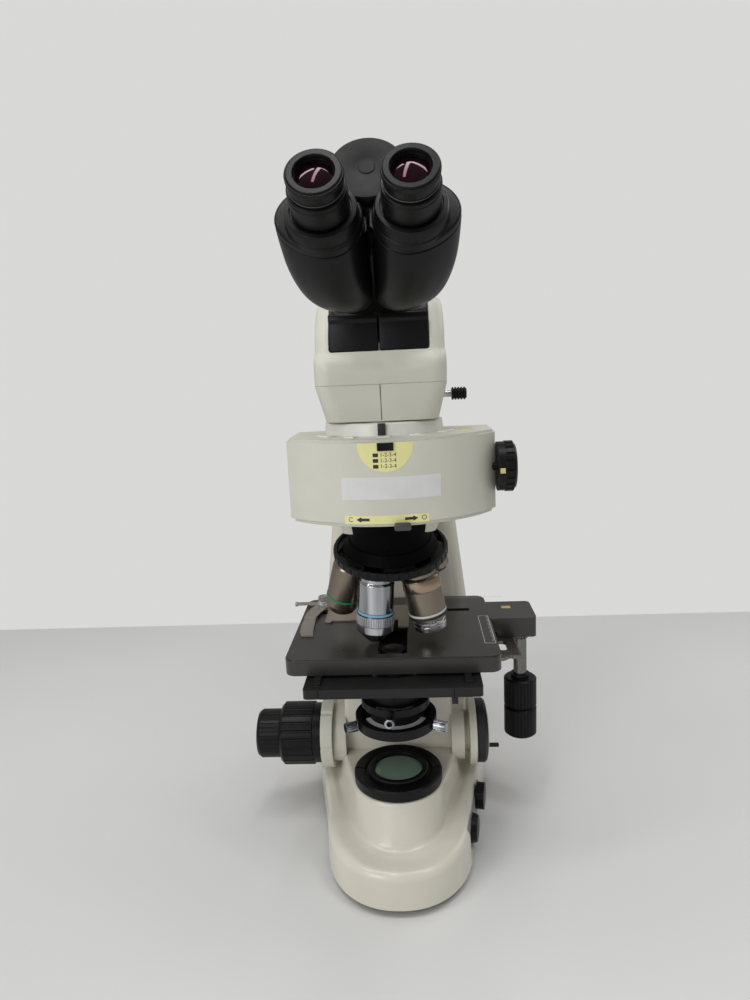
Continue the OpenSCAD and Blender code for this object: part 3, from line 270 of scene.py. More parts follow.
# %% [markdown]
# ## Lofted castings
# The base, the head and the two eyepiece wings are cast or moulded forms without straight sides. Each is
# made like a ship's hull: outlines are stacked, and the skin runs over them. A grid has exactly the right
# points for this. One direction of the grid runs round the outline and the other runs up the stack, so
# each of its points is moved to its place. The two ends meet at the back, are merged, and the open top
# and bottom are filled.

# %% Loft helper
def loft(outlines):
    columns, rows = len(outlines[0]), len(outlines)
    nothing_selected()
    bpy.ops.mesh.primitive_grid_add(x_subdivisions=columns, y_subdivisions=rows - 1, size=1)
    piece = bpy.context.object
    for vertex in piece.data.vertices:
        column = round((vertex.co.x + 0.5) * columns) % columns
        row = round((vertex.co.y + 0.5) * (rows - 1))
        vertex.co = Vector(outlines[row][column]) * MM
    bpy.ops.object.mode_set(mode="EDIT")
    bpy.ops.mesh.select_all(action="SELECT")
    bpy.ops.mesh.remove_doubles(threshold=0.00001)
    bpy.ops.mesh.fill_holes(sides=0)
    bpy.ops.mesh.normals_make_consistent(inside=False)
    bpy.ops.object.mode_set(mode="OBJECT")
    return piece


def cut(piece, cutter, operation="DIFFERENCE"):
    modify(piece, "BOOLEAN", operation=operation, object=cutter, solver="EXACT")
    bpy.data.objects.remove(cutter)


def cut_box(low, high, round_edge=0.0, place=None):
    nothing_selected()
    size, middle = Vector(high) - Vector(low), (Vector(high) + Vector(low)) / 2
    bpy.ops.mesh.primitive_cube_add(size=1, location=middle * MM, scale=size * MM)
    cutter = bpy.context.object
    if place is not None:
        cutter.matrix_world = place @ cutter.matrix_world
    bpy.ops.object.transform_apply(location=True, rotation=True, scale=True)
    if round_edge:
        modify(cutter, "BEVEL", width=round_edge * MM, segments=4)
    return cutter


def cut_cylinder(radius, start, end, sides=96):
    nothing_selected()
    line = (Vector(end) - Vector(start)) * MM
    bpy.ops.mesh.primitive_cylinder_add(vertices=sides, radius=radius * MM, depth=line.length,
                                        location=(Vector(start) + Vector(end)) / 2 * MM,
                                        rotation=line.to_track_quat("Z", "Y").to_euler())
    cutter = bpy.context.object
    bpy.ops.object.transform_apply(location=True, rotation=True, scale=True)
    return cutter


# %% [markdown]
# ## The base casting
# In plan the base has a round nose and sides that spread to the rear. Its section is what makes it look
# cast: a steep wall, a round lip, a shallow channel behind the lip, and a hollow curve up into the plinth
# that carries the field lens. Every outline is worked out from two curves, the outer edge and the foot of
# the plinth.

# %% Outlines of the base
BASE_BOTTOM = 6.5
BASE_HALF, BASE_NOSE, BASE_REAR = 68.0, 88.0, 215.0
SHOULDER, SHOULDER_RISE = 40.0, math.tan(math.radians(3.4))
FLARE, FLARE_END = 0.2, 110.0
NOSE_POWER = 2 / 2.2
LIP_RADIUS, LIP_INSET = 8, 0.8
CHANNEL, CHANNEL_SHARE = 2.2, 0.68
PLINTH_FOOT, PLINTH_RISE, PLINTH_TOP = 34, 37.5, 74.0
PLINTH_FILLET = 5
SHOULDER_FROM, COLUMN_FRONT = 40, 150
BORE_RADIUS, HUB_RADIUS, HUB_FACE = 19.7, 28.3, 51.7
NOSE_STEPS, SIDE_STEPS, REAR_STEPS = 30, 36, 12


def half_path(outer, inset):
    points = []
    for k in range(NOSE_STEPS + 1):
        a = math.radians(90 * k / NOSE_STEPS)
        if outer:
            across, ahead = math.sin(a) ** NOSE_POWER, math.cos(a) ** NOSE_POWER
            points.append(((BASE_HALF - inset) * across, -(BASE_NOSE - inset) * ahead))
        else:
            points.append((math.sin(a * 0.88), math.cos(a * 0.88)))
    return points


def outer_edge(inset):
    right = half_path(True, inset)
    for k in range(1, SIDE_STEPS + 1):
        y = (BASE_REAR - inset) * k / SIDE_STEPS
        right.append((BASE_HALF - inset + FLARE * min(y, FLARE_END), y))
    return right


def plinth_edge(inset, rise):
    centre = -17 + 17 * rise
    radius = 41 + rise - inset
    shoulder_x, shoulder_y = 61 - 4 * rise - inset, 40 + 8 * rise
    right = [(radius * x, centre - radius * y) for x, y in half_path(False, 0)]
    start_x, start_y = right[-1]
    for k in range(1, SIDE_STEPS + 1):
        y = BASE_REAR * k / SIDE_STEPS
        if y < SHOULDER_FROM:
            share = y / SHOULDER_FROM
            x = start_x + (shoulder_x - start_x) * share
            right.append((x, start_y + (shoulder_y - start_y) * share))
        else:
            share = (y - SHOULDER_FROM) / (BASE_REAR - SHOULDER_FROM)
            right.append((shoulder_x, shoulder_y + (COLUMN_FRONT - inset - shoulder_y) * share))
    return right


def closed(right, heights):
    corner_x, corner_y = right[-1]
    points = [(x, y, z) for (x, y), z in zip(right, heights)]
    for k in range(1, REAR_STEPS):
        points.append((corner_x * (1 - 2 * k / REAR_STEPS), corner_y, heights[-1]))
    points += [(-x, y, z) for (x, y), z in zip(right[:0:-1], heights[:0:-1])]
    return points


# %% [markdown]
# The stack of outlines follows the section from the bottom edge to the flat top of the plinth. A pocket
# under the limb gives the foot of the stage carrier its room when the stage goes down.

# %% Base casting
def base_outlines():
    edge = outer_edge(0)
    shoulder = [SHOULDER + (y + BASE_NOSE) * SHOULDER_RISE for x, y in edge]
    stack = [closed(outer_edge(1), [BASE_BOTTOM] * len(edge)),
             closed(edge, [BASE_BOTTOM + 1] * len(edge))]
    for k in range(9):
        a = math.radians(90 * k / 8)
        inset = LIP_INSET + LIP_RADIUS * (1 - math.cos(a))
        stack.append(closed(outer_edge(inset), [z - LIP_RADIUS * (1 - math.sin(a)) for z in shoulder]))
    lip = outer_edge(LIP_INSET + LIP_RADIUS)
    rise_at = [(z - CHANNEL - PLINTH_FOOT) / PLINTH_RISE for z in shoulder]
    foot = [plinth_edge(0, rise)[k] for k, rise in enumerate(rise_at)]

    def blend(share, depth):
        path = [(a[0] + (b[0] - a[0]) * share, a[1] + (b[1] - a[1]) * share) for a, b in zip(lip, foot)]
        return closed(path, [z - depth for z in shoulder])

    for share, depth in ((0.15, 0.35), (0.3, 1.0), (0.45, 1.7), (0.58, 2.1), (CHANNEL_SHARE, CHANNEL)):
        stack.append(blend(share, depth))
    fillet = PLINTH_FILLET / PLINTH_RISE
    for s in (0.25, 0.5, 0.75, 1.0):
        path, heights = [], []
        for k, (z, rise) in enumerate(zip(shoulder, rise_at)):
            start = [lip[k][i] + (foot[k][i] - lip[k][i]) * CHANNEL_SHARE for i in (0, 1)]
            end = plinth_edge(0, rise + fillet)[k]
            path.append([(1 - s) ** 2 * start[i] + 2 * s * (1 - s) * foot[k][i] + s * s * end[i]
                         for i in (0, 1)])
            heights.append(z - CHANNEL + s * s * PLINTH_FILLET)
        stack.append(closed(path, heights))
    for share in (0.35, 0.7, 1.0):
        rises = [r + fillet + (1 - r - fillet) * share for r in rise_at]
        path = [plinth_edge(0, r)[k] for k, r in enumerate(rises)]
        stack.append(closed(path, [PLINTH_FOOT + PLINTH_RISE * r for r in rises]))
    for inset, height in ((0.35, 72.6), (1.1, 73.4), (2.2, 73.85), (3.6, PLINTH_TOP), (14, PLINTH_TOP)):
        stack.append(closed(plinth_edge(inset, 1), [height] * len(edge)))
    return stack


base = loft(base_outlines())
cut(base, cut_cylinder(BORE_RADIUS, (0, 0, 50), (0, 0, 80)))
cut(base, cut_box((-38, 55, 50), (38, 122, 80)))
FOCUS_Y, FOCUS_Z = 65, 85
for side in (-1, 1):
    cut(base, cut_cylinder(HUB_RADIUS, (side * HUB_FACE, FOCUS_Y, FOCUS_Z), (side * 80, FOCUS_Y, FOCUS_Z)))
panel_turn = Matrix.Rotation(math.radians(-11.3), 4, "Z")
panel_place = Matrix.Translation(Vector((BASE_HALF, 0, 0)) * MM) @ panel_turn
cut(base, cut_box((-1.5, -34, 9), (18, 58, 45), 3, panel_place))
settle(base, "base_body", "stand", FINISHES["cream_paint"])

foot_stack = []
for z, half, front, back, corner in ((44, 86.3, 133.9, 210.2, 16), (48, 86, 134, 210, 16),
                                     (60, 85.3, 134.3, 209.6, 16), (74, 84.5, 134.7, 209.3, 16)):
    ring = []
    for turn, cx, cy in ((0, half - corner, back - corner), (90, -half + corner, back - corner),
                         (180, -half + corner, front + corner), (270, half - corner, front + corner)):
        for k in range(13):
            a = math.radians(turn + 90 * k / 12)
            ring.append((cx + corner * math.cos(a), cy + corner * math.sin(a), z))
    foot_stack.append(ring)
column_foot = settle(loft(foot_stack), "column_foot", "stand", FINISHES["cream_paint"])
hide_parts("base_casting")
print("base body faces:", len(base.data.polygons))

# %% [markdown]
# ## The tilted frames
# The nosepiece leans forward, so that only the objective in use stands upright. The eyepieces point at
# the viewer. Two small functions give the place and the turn of an objective seat and of an eyepiece, so
# that rings and lenses are modelled upright at the origin and then moved there.

# %% Tilted frames
NOSE_TILT = math.radians(15)
NOSE_TURN = math.radians(-18)
PORT_PITCH = 38 * MM
SEAT_HEIGHT = 268.5 * MM
nose_centre = Vector((0, math.cos(NOSE_TILT), math.sin(NOSE_TILT))) * PORT_PITCH
nose_centre.z += SEAT_HEIGHT


def on_port(k):
    lean = Matrix.Rotation(NOSE_TILT, 4, "X")
    turn_to = Matrix.Rotation(NOSE_TURN + math.radians(60 * k), 4, "Z")
    out_to = Matrix.Translation((0, -PORT_PITCH, 0))
    return Matrix.Translation(nose_centre) @ lean @ turn_to @ out_to @ lean.inverted()


DISC_CENTRE = Vector((0, -105, 576)) * MM
HALF_EYES = 27.9 * MM
EYE_DROP = 42 * MM
disc_frame = Matrix.Translation(DISC_CENTRE) @ Matrix.Rotation(math.radians(60), 4, "X")


def on_eye(side):
    return disc_frame @ Matrix.Translation((side * HALF_EYES, -EYE_DROP, 0))


# %% [markdown]
# ## Colour rings of the objectives
# Each objective has a groove with an enamelled ring that tells its power. A ring starts as an open circle
# that is extruded upwards and then given a wall by Solidify, with a Bevel so that its edges catch the
# light.

# %% Colour rings
def enamel(name, colour, gloss=0.3):
    return finish(name, colour, gloss, mottle=0.03, mottle_scale=60, grain=1200, skin=0.02, edge=0.0002,
                  coat=0.2)


def band(name, body, material, place, radius, low, high, wall=0.5 * MM, sides=96, flutes=0.0):
    nothing_selected()
    bpy.ops.mesh.primitive_circle_add(vertices=sides, radius=radius, location=(0, 0, low))
    piece = bpy.context.object
    bpy.ops.object.mode_set(mode="EDIT")
    bpy.ops.mesh.select_mode(type="VERT")
    bpy.ops.mesh.select_all(action="SELECT")
    bpy.ops.mesh.extrude_region_move(TRANSFORM_OT_translate={"value": (0, 0, high - low)})
    bpy.ops.object.mode_set(mode="OBJECT")
    if flutes:
        rim = bmesh.new()
        rim.from_mesh(piece.data)
        for vertex in rim.verts:
            step = round(math.degrees(math.atan2(vertex.co.y, vertex.co.x)) / 360 * sides)
            if step % 2:
                vertex.co.xy = vertex.co.xy * (1 - flutes / radius)
        rim.to_mesh(piece.data)
        rim.free()
    modify(piece, "SOLIDIFY", thickness=wall, offset=-1)
    if not flutes:
        modify(piece, "BEVEL", width=wall * 0.25, segments=2)
    return settle(piece, name, body, material, place)


RINGS = {
    "green_ring": (-1, (0.02, 0.25, 0.12), 15.3, -38.3, -36.2),
    "blue_ring": (0, (0.22, 0.50, 0.72), 15.7, -32.8, -30.7),
    "white_ring": (1, (0.72, 0.72, 0.70), 16.8, -39.3, -37.2),
}
for ring_name, (port, colour, radius, low, high) in RINGS.items():
    band(ring_name, "nosepiece", enamel(ring_name + "_enamel", colour), on_port(port), radius * MM,
         low * MM, high * MM)

# %% [markdown]
# ## Labels on the filter housing
# The front of the filter housing is a shallow arc, so a flat label would cut through it. Each label
# starts as a grid, takes its outline, and every point is then pushed back to the arc. Solidify gives it
# the thickness of printed film. What the real labels say is left out.

# %% Labels
ARC_RADIUS = 105.5 * MM
ARC_CENTRE = Vector((0.5, 30.5)) * MM
FILM = 0.25 * MM


def arc_y(x, lift=0.0):
    return ARC_CENTRE.y - math.sqrt((ARC_RADIUS + lift) ** 2 - (x - ARC_CENTRE.x) ** 2)


def label(name, left, right, bottom, top, material, bowl=False, lift=0.0, columns=40, rows=14):
    nothing_selected()
    bpy.ops.mesh.primitive_grid_add(x_subdivisions=columns, y_subdivisions=rows, size=1)
    piece = bpy.context.object
    middle, half = (left + right) / 2, (right - left) / 2
    for vertex in piece.data.vertices:
        across, up = vertex.co.x * 2, vertex.co.y + 0.5
        share = math.sqrt(max(0.0, 1 - (1 - up) ** 2.2)) if bowl else 1.0
        x = (middle + across * half * max(share, 0.02)) * MM
        vertex.co = (x, arc_y(x, lift), (bottom + (top - bottom) * up) * MM)
    modify(piece, "SOLIDIFY", thickness=FILM, offset=0)
    return settle(piece, name, "stand", material)


yellow_film = enamel("yellow_film", (0.86, 0.83, 0.38), 0.4)
white_film = enamel("white_film", (0.74, 0.74, 0.73), 0.45)
black_ink = enamel("black_ink", (0.02, 0.02, 0.02), 0.4)
label("position_label", -18, 24, 373.4, 395.6, yellow_film, bowl=True)
label("blank_label", -31.5, 44.3, 352.5, 369.8, white_film)
label("shutter_label", -30, 34.6, 333.7, 340.2, yellow_film)


INK_LIFT = 0.12 * MM


def ink(name, left, right, bottom, top, columns=6, rows=3):
    return label(name, left, right, bottom, top, black_ink, lift=INK_LIFT, columns=columns, rows=rows)


def printed(name, words, middle, height, size):
    nothing_selected()
    bpy.ops.object.text_add(location=(0, 0, 0))
    bpy.context.object.data.body = words
    bpy.context.object.data.size = size * MM
    bpy.context.object.data.align_x = "CENTER"
    bpy.context.object.data.align_y = "CENTER"
    bpy.context.object.data.extrude = 0.08 * MM
    bpy.ops.object.convert(target="MESH")
    piece = bpy.context.object
    for vertex in piece.data.vertices:
        across, up, out = vertex.co
        x = middle * MM + across
        vertex.co = (x, arc_y(x, INK_LIFT + out), height * MM + up)
    bpy.ops.object.mode_set(mode="EDIT")
    bpy.ops.mesh.select_all(action="SELECT")
    bpy.ops.mesh.remove_doubles(threshold=0.000002)
    bpy.ops.object.mode_set(mode="OBJECT")
    return settle(piece, name, "stand", black_ink)


MARK_HALF = 1.4
ROW_TEXT, ARROW_TEXT = 4.2, 5.2
ARROW_HEIGHT, ARROW_HALF = 337.1, 2.1
ARROW_HEAD, ARROW_SHAFT = 3.5 * MM, 0.5
for row, height in enumerate((386.5, 382.3, 377.9)):
    ink("position_mark_%d" % row, -6.5, -2.5, height - MARK_HALF, height + MARK_HALF)
    printed("position_numbers_%d" % row, "1-2-3-4", 5.0, height, ROW_TEXT)
printed("closed_letter", "C", -25.6, ARROW_HEIGHT, ARROW_TEXT)
printed("open_letter", "O", 30.6, ARROW_HEIGHT, ARROW_TEXT)


def arrow(name, tip, tail):
    middle = ARROW_HEIGHT + 0.1
    piece = ink(name, min(tip, tail), max(tip, tail), middle - ARROW_HALF, middle + ARROW_HALF,
                columns=12, rows=6)
    for vertex in piece.data.vertices:
        reach = abs(vertex.co.x - tip * MM)
        share = reach / ARROW_HEAD if reach < ARROW_HEAD else ARROW_SHAFT
        vertex.co.z = middle * MM + (vertex.co.z - middle * MM) * share
    return piece


arrow("close_arrow", -21, -11)
arrow("open_arrow", 26, 16)

# %% [markdown]
# ## Window cap and cover strips of the filter housing
# Above the label is a small black window cap with a sunk middle. It is a block whose front face is inset
# and pushed in. The off-white strips on top close the slots of the filter drawer.

# %% Window cap
def block(name, body, material, low, high, round_edge, sunk=None):
    piece = cut_box(low, high)
    if sunk:
        bpy.ops.object.mode_set(mode="EDIT")
        bpy.ops.mesh.select_all(action="DESELECT")
        bpy.ops.object.mode_set(mode="OBJECT")
        for face in piece.data.polygons:
            face.select = face.normal.dot(Vector(sunk[0])) > 0.9
        bpy.ops.object.mode_set(mode="EDIT")
        bpy.ops.mesh.select_mode(type="FACE")
        bpy.ops.mesh.inset(thickness=sunk[1] * MM, depth=0)
        bpy.ops.mesh.inset(thickness=sunk[2] * MM * 0.3, depth=-sunk[2] * MM)
        bpy.ops.object.mode_set(mode="OBJECT")
    modify(piece, "BEVEL", width=round_edge * MM, segments=3, limit_method="ANGLE")
    return settle(piece, name, body, material)


block("window_cap", "stand", FINISHES["black_plastic"], (-3, -76.4, 389.6), (9.2, -73.5, 395.6), 0.9,
      sunk=((0, -1, 0), 1.4, 0.5))
smoke = finish("smoke_moulding", (0.06, 0.06, 0.06), 0.3, mottle=0.15, skin=0.04)
tab = block("shutter_tab", "shutter", smoke, (7.8, -80, 328.7), (20.4, -75.4, 335), 1.6)
stem = block("shutter_stem", "shutter", FINISHES["black_plastic"], (10.1, -77, 331.2),
             (19.9, -69.8, 334), 0.3)
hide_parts("shutter_slider")

HOUSING_TOP = 397.8
STRIPS = {"strip_far_left": (-53, 8.5), "strip_left": (-25, 4.5), "strip_middle": (1.5, 5),
          "strip_right": (27.5, 4.7), "strip_far_right": (62, 9.5)}
strip_finish = finish("strip_moulding", (0.80, 0.79, 0.70), 0.4, mottle=0.03, skin=0.03, edge=0.0004)
for strip_name, (turn_by, half) in STRIPS.items():
    strip = block(strip_name, "stand", strip_finish, (-half, -61, HOUSING_TOP - 0.1),
                  (half, -54, HOUSING_TOP + 1.2), 0.4)
    strip.data.transform(Matrix.Rotation(math.radians(turn_by), 4, "Z"))
block("housing_tag", "stand", enamel("housing_tag_yellow", (0.70, 0.62, 0.28)), (63, -20, HOUSING_TOP),
      (72.5, -8, HOUSING_TOP + 0.8), 0.2)

# %% [markdown]
# ## Scales of the stage
# A mechanical stage is read on two scales: a printed one with a frame at the right edge, and fine ticks
# along the rear. A tick is a flat white bar, each one a small block of its own.

# %% Stage scales
STAGE_TOP = 207
print_white = enamel("scale_print", (0.62, 0.62, 0.60), 0.5)
tag_yellow = enamel("tag_yellow", (0.62, 0.42, 0.10), 0.45)


def mark(name, body, material, x0, x1, y0, y1, z, height=0.12):
    return block(name, body, material, (x0, y0, z - 0.05), (x1, y1, z + height), 0.04)


LINE = 0.5
FRAME_LEFT, FRAME_RIGHT, FRAME_FRONT, FRAME_BACK = 81.6, 91.5, -5, 63
FRAME = ((FRAME_LEFT, FRAME_LEFT + LINE, FRAME_FRONT, FRAME_BACK),
         (FRAME_RIGHT - LINE, FRAME_RIGHT, FRAME_FRONT, FRAME_BACK),
         (FRAME_LEFT, FRAME_RIGHT, FRAME_FRONT - 0.4, FRAME_FRONT + 0.1),
         (FRAME_LEFT, FRAME_RIGHT, FRAME_BACK - 0.2, FRAME_BACK + 0.3))
TICK_STEP = 2
for side, (x0, x1, y0, y1) in enumerate(FRAME):
    mark("scale_frame_%d" % side, "stage", print_white, x0, x1, y0, y1, STAGE_TOP)
for k in range(31):
    start = 88.2 if k % 5 == 0 else 89.4
    y = 0.8 + TICK_STEP * k
    mark("scale_tick_%02d" % k, "stage", print_white, start, FRAME_RIGHT - LINE, y, y + 0.35, STAGE_TOP)
for k in range(34):
    end = 122.5 if k % 5 == 0 else 120.8
    x = 45 + TICK_STEP * k
    mark("rear_tick_%02d" % k, "stage", print_white, x, x + 0.4, 118.5, end, STAGE_TOP)
mark("stage_tag", "stage", tag_yellow, 107.8, 116.8, 84, 91, STAGE_TOP - 0.4, 0.2)

# %% [markdown]
# ## Condenser scales
# The white arc on the condenser and the fine ticks on its black ring show the aperture. The arc is an
# open ring of faces; the ticks are small bars round the ring.

# %% Condenser scales
def arc_strip(name, body, material, inner, outer, start, end, z, rise, steps=48):
    nothing_selected()
    bpy.ops.mesh.primitive_grid_add(x_subdivisions=steps, y_subdivisions=2, size=1)
    piece = bpy.context.object
    for vertex in piece.data.vertices:
        angle = math.radians(start + (end - start) * (vertex.co.x + 0.5))
        radius = (inner + (outer - inner) * (vertex.co.y + 0.5)) * MM
        height = (z - rise * (vertex.co.y + 0.5)) * MM
        vertex.co = (radius * math.cos(angle), radius * math.sin(angle), height)
    modify(piece, "SOLIDIFY", thickness=0.3 * MM, offset=0)
    return settle(piece, name, body, material)


arc_strip("aperture_arc", "condenser", white_film, 24.0, 28.6, 198, 342, 138.7, 0.4)
FRONT = 270
APERTURE_TOP = 157
TICKS, TICK_ANGLE = 17, 4
for k in range(TICKS):
    angle = math.radians(FRONT + TICK_ANGLE * (k - TICKS // 2))
    end = 30.2 if k % 4 == 0 else 29.2
    tick = mark("aperture_tick_%02d" % k, "aperture", print_white, 27.2, end, -0.15, 0.15, APERTURE_TOP)
    tick.data.transform(Matrix.Rotation(angle, 4, "Z"))

# %% [markdown]
# ## Eye lenses
# The front lens of an eyepiece is a shallow dome of coated glass over a dark barrel: it mirrors the room
# in magenta and green. The dome is a sphere that is cut by bisect, which also closes the cut.

# %% Eye lenses
def dome(name, body, material, place, radius, height, z):
    nothing_selected()
    sphere_radius = (radius * radius + height * height) / (2 * height)
    bpy.ops.mesh.primitive_uv_sphere_add(segments=64, ring_count=96, radius=sphere_radius * MM,
                                         location=(0, 0, (z + height - sphere_radius) * MM))
    piece = bpy.context.object
    bpy.ops.object.transform_apply(location=True, rotation=True, scale=True)
    bpy.ops.object.mode_set(mode="EDIT")
    bpy.ops.mesh.select_all(action="SELECT")
    bpy.ops.mesh.bisect(plane_co=(0, 0, z * MM), plane_no=(0, 0, 1), clear_inner=True, use_fill=True)
    bpy.ops.object.mode_set(mode="OBJECT")
    return settle(piece, name, body, material, place)


coated, coated_tree, coated_shader = new_material("magenta_coating")
plum = ramp(coated_tree, noise(coated_tree, 120), (0.003, 0.001, 0.002), (0.008, 0.003, 0.005))
polish = spread(coated_tree, noise(coated_tree, 200), 0.02, 0.05)
coated_tree.links.new(plum, coated_shader.inputs["Base Color"])
coated_tree.links.new(polish, coated_shader.inputs["Roughness"])
coated_shader.inputs["Specular IOR Level"].default_value = 0.3
coated_shader.inputs["Specular Tint"].default_value = (1.0, 0.45, 0.62, 1)
for side, side_name in ((-1, "left"), (1, "right")):
    dome("eye_lens_" + side_name, side_name + "_eyepiece", coated, on_eye(side), 11.6, 2.2, 41.5)

# %% [markdown]
# ## Turned pieces
# Eyepieces, knobs and lenses are turned on a lathe. The profile is drawn as a chain of points, radius
# first and height second, and the Screw modifier turns it once round the axis. A profile that starts and
# ends on the axis is left open there. A ring keeps its closing edge.

# %% Turned pieces
def turned(name, body, material, place, profile, ring=False, sides=96, angle=35):
    nothing_selected()
    bpy.ops.mesh.primitive_circle_add(vertices=len(profile))
    piece = bpy.context.object
    for vertex, (radius, height) in zip(piece.data.vertices, profile):
        vertex.co = (radius * MM, 0, height * MM)
    if not ring:
        outline = bmesh.new()
        outline.from_mesh(piece.data)
        on_axis = [edge for edge in outline.edges if all(abs(v.co.x) < 1e-9 for v in edge.verts)]
        bmesh.ops.delete(outline, geom=on_axis, context="EDGES")
        outline.to_mesh(piece.data)
        outline.free()
    modify(piece, "SCREW", steps=sides, render_steps=sides, use_merge_vertices=True, merge_threshold=1e-6)
    return settle(piece, name, body, material, place, angle)


def facing_x(x, y, z):
    return Matrix.Translation(Vector((x, y, z)) * MM) @ Matrix.Rotation(math.radians(90), 4, "Y")


# %% [markdown]
# ## Eyepieces
# An eyepiece is a stack of black rings. The rim is a flat ring round a sunk lens, its edge is knurled,
# and a thin lighter grey ring where the rim meets the barrel is a painted highlight of the groove there.

# %% Eyepieces
# Lighter grey than the black rings: a painted highlight for the groove line under the rim.
rim_highlight_grey = finish("painted_rim_highlight", (0.10, 0.10, 0.10), 0.35, mottle=0.2)
TUBE = [(0, -20), (15, -20), (15, 17.6), (17.9, 17.6), (18.4, 18.1)]
GROOVE = [(18.4, 30.6), (18.0, 31), (18.0, 31.6), (18.4, 32), (18.4, 33.6), (17.9, 34.1)]
RIM = [(16.3, 34.3), (16.3, 35.4), (16.6, 35.7), (16.6, 45.6), (15.9, 46.4), (12.7, 46.4), (12.3, 45.9)]
RECESS = [(12.0, 43.2), (11.8, 43), (11.8, 41.4), (0, 41.4)]
EYE_PROFILE = TUBE + GROOVE + RIM + RECESS
for side, side_name in ((-1, "left"), (1, "right")):
    eyepiece = turned("eyepiece_body_" + side_name, side_name + "_eyepiece", FINISHES["black_plastic"],
                      on_eye(side), EYE_PROFILE)
    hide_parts("eyepiece_" + side_name)
    band("rim_knurl_" + side_name, side_name + "_eyepiece", FINISHES["black_plastic"], on_eye(side),
         16.88 * MM, 42.6 * MM, 45.4 * MM, wall=0.7 * MM, sides=144, flutes=0.35 * MM)
    # This thin lighter grey ring is the painted highlight of the groove under the rim.
    band("rim_line_" + side_name, side_name + "_eyepiece", rim_highlight_grey, on_eye(side), 16.7 * MM,
         35.9 * MM, 36.3 * MM, wall=0.4 * MM)

# %% [markdown]
# ## Eyepiece wings
# Each wing is one smooth moulding: a face plate like a drop round the eyepiece, and behind it a full body
# that keeps its width for a while and then closes like the end of an egg. The stations are given from the
# eyepiece's own axis, and the stations between them follow a smooth curve.

# %% Eyepiece wings
def between(t, a, b, c, d):
    bend = (2 * a - 5 * b + 4 * c - d) * t * t + (3 * b - a - 3 * c + d) * t ** 3
    return 0.5 * (2 * b + (c - a) * t + bend)


def smooth_between(stations, parts):
    rows = []
    last = len(stations) - 1
    for k in range(last):
        around = (stations[max(k - 1, 0)], stations[k], stations[k + 1], stations[min(k + 2, last)])
        for j in range(parts):
            t = j / parts
            rows.append([between(t, *values) for values in zip(*around)])
    rows.append(list(stations[last]))
    return rows


def drop(depth, x, y, half, up, down, inset=0.0, lean=5.0, power=1.9, steps=96):
    points = []
    for k in range(steps):
        a = 2 * math.pi * k / steps
        across = math.copysign(abs(math.cos(a)) ** (2 / power), math.cos(a))
        along = math.copysign(abs(math.sin(a)) ** (2 / power), math.sin(a))
        reach = (up if along > 0 else down) - inset
        shift = -lean * along * along if along < 0 else 0
        points.append((x + (half - inset) * across + shift, y + reach * along, depth))
    return points


FACE_TOP = 6.6
FACE = (3.0, 4.2, 28.2, 25.5, 28.5)
WING_STATIONS = [
    (0, 3.0, 4.2, 28.4, 25.5, 29.0),
    (-14, 2.6, 3.8, 28.6, 25, 32),
    (-30, 1.6, 2.0, 28.4, 24, 32),
    (-46, -0.6, 0.5, 27.4, 22, 29.5),
    (-58, -3.0, -0.8, 25.6, 19, 24),
    (-67, -5.6, -1.6, 22.6, 15, 17),
    (-73, -8, -2.4, 17, 10, 10),
    (-75.5, -9, -2.8, 8, 4, 4),
]
PLATE_RADIUS, PLATE_THICK = 22, 3.6
EYE_ACROSS, EYE_UP = 27.9, 42
for side, side_name, layer in ((-1, "left", -8.9), (1, "right", -4.8)):
    body_name = side_name + "_wing"
    stack = [drop(FACE_TOP, *FACE, inset=2.2), drop(FACE_TOP - 0.3, *FACE, inset=1.0),
             drop(FACE_TOP - 1.1, *FACE, inset=0.2), drop(FACE_TOP - 1.9, *FACE), drop(0.9, *FACE),
             drop(0.8, *FACE, inset=0.5), drop(0.3, *FACE, inset=0.5)]
    stack += [drop(*row) for row in smooth_between(WING_STATIONS, 4)]
    mirror_to = Matrix.Diagonal((side, 1, 1, 1))
    wing = loft(stack)
    cut(wing, cut_cylinder(30, (-EYE_ACROSS, EYE_UP, -90), (-EYE_ACROSS, EYE_UP, 20)))
    cut(wing, cut_box((-60, -90, -90), (-EYE_ACROSS + 1.2, 60, 20)))
    wing.data.transform(mirror_to)
    settle(wing, "wing_body_" + side_name, body_name, FINISHES["black_plastic"], on_eye(side), angle=50)
    turned("wing_collar_" + side_name, body_name, FINISHES["black_plastic"], on_eye(side),
           [(15.1, 5), (24.0, 5), (24.0, 7.4), (23.3, 8), (22.9, 15.4), (22.2, 16.6), (19.6, 17),
            (19.4, 15.6), (15.1, 15.6)], ring=True)
    outline = []
    for k in range(96):
        a = 2 * math.pi * k / 96
        towards = Vector((math.cos(a), math.sin(a)))
        hub, grip = Vector((0, 0)), Vector((side * EYE_ACROSS, -EYE_UP))
        centre = hub if hub.dot(towards) > grip.dot(towards) else grip
        outline.append(centre + towards * PLATE_RADIUS)
    plate = loft([[(p.x, p.y, height) for p in outline] for height in (layer, layer + PLATE_THICK)])
    inner, outer = sorted((side * 1.2, side * 1.2 - side * 60))
    cut(plate, cut_box((inner, -120, -30), (outer, -28, 20)))
    settle(plate, "hinge_plate_" + side_name, body_name, FINISHES["black_plastic"], disc_frame)
    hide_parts("wing_" + side_name)

hinge_grey = finish("hinge_moulding", (0.007, 0.007, 0.008), 0.55, mottle=0.1, grain=2200, skin=0.08,
                    sheen=0.25)
turned("hinge_cap", "tilt", hinge_grey, disc_frame,
       [(0, 2.4), (25.3, 2.4), (25.5, 2.6), (25.5, 2.9), (24.9, 3.9), (24.3, 4.7), (9.6, 4.9),
        (8.6, 4.5), (5.6, 4.4), (5.0, 4.9), (0, 5.0)])

# %% [markdown]
# ## The head
# The upper shell of the head is a soft form. Its front steps out below a crease that dips in the middle,
# leans back up to the cover, and ends in two round cheeks. The shell is lofted, the notch for the cover
# is cut out, and a Bevel softens the edges of the cut.

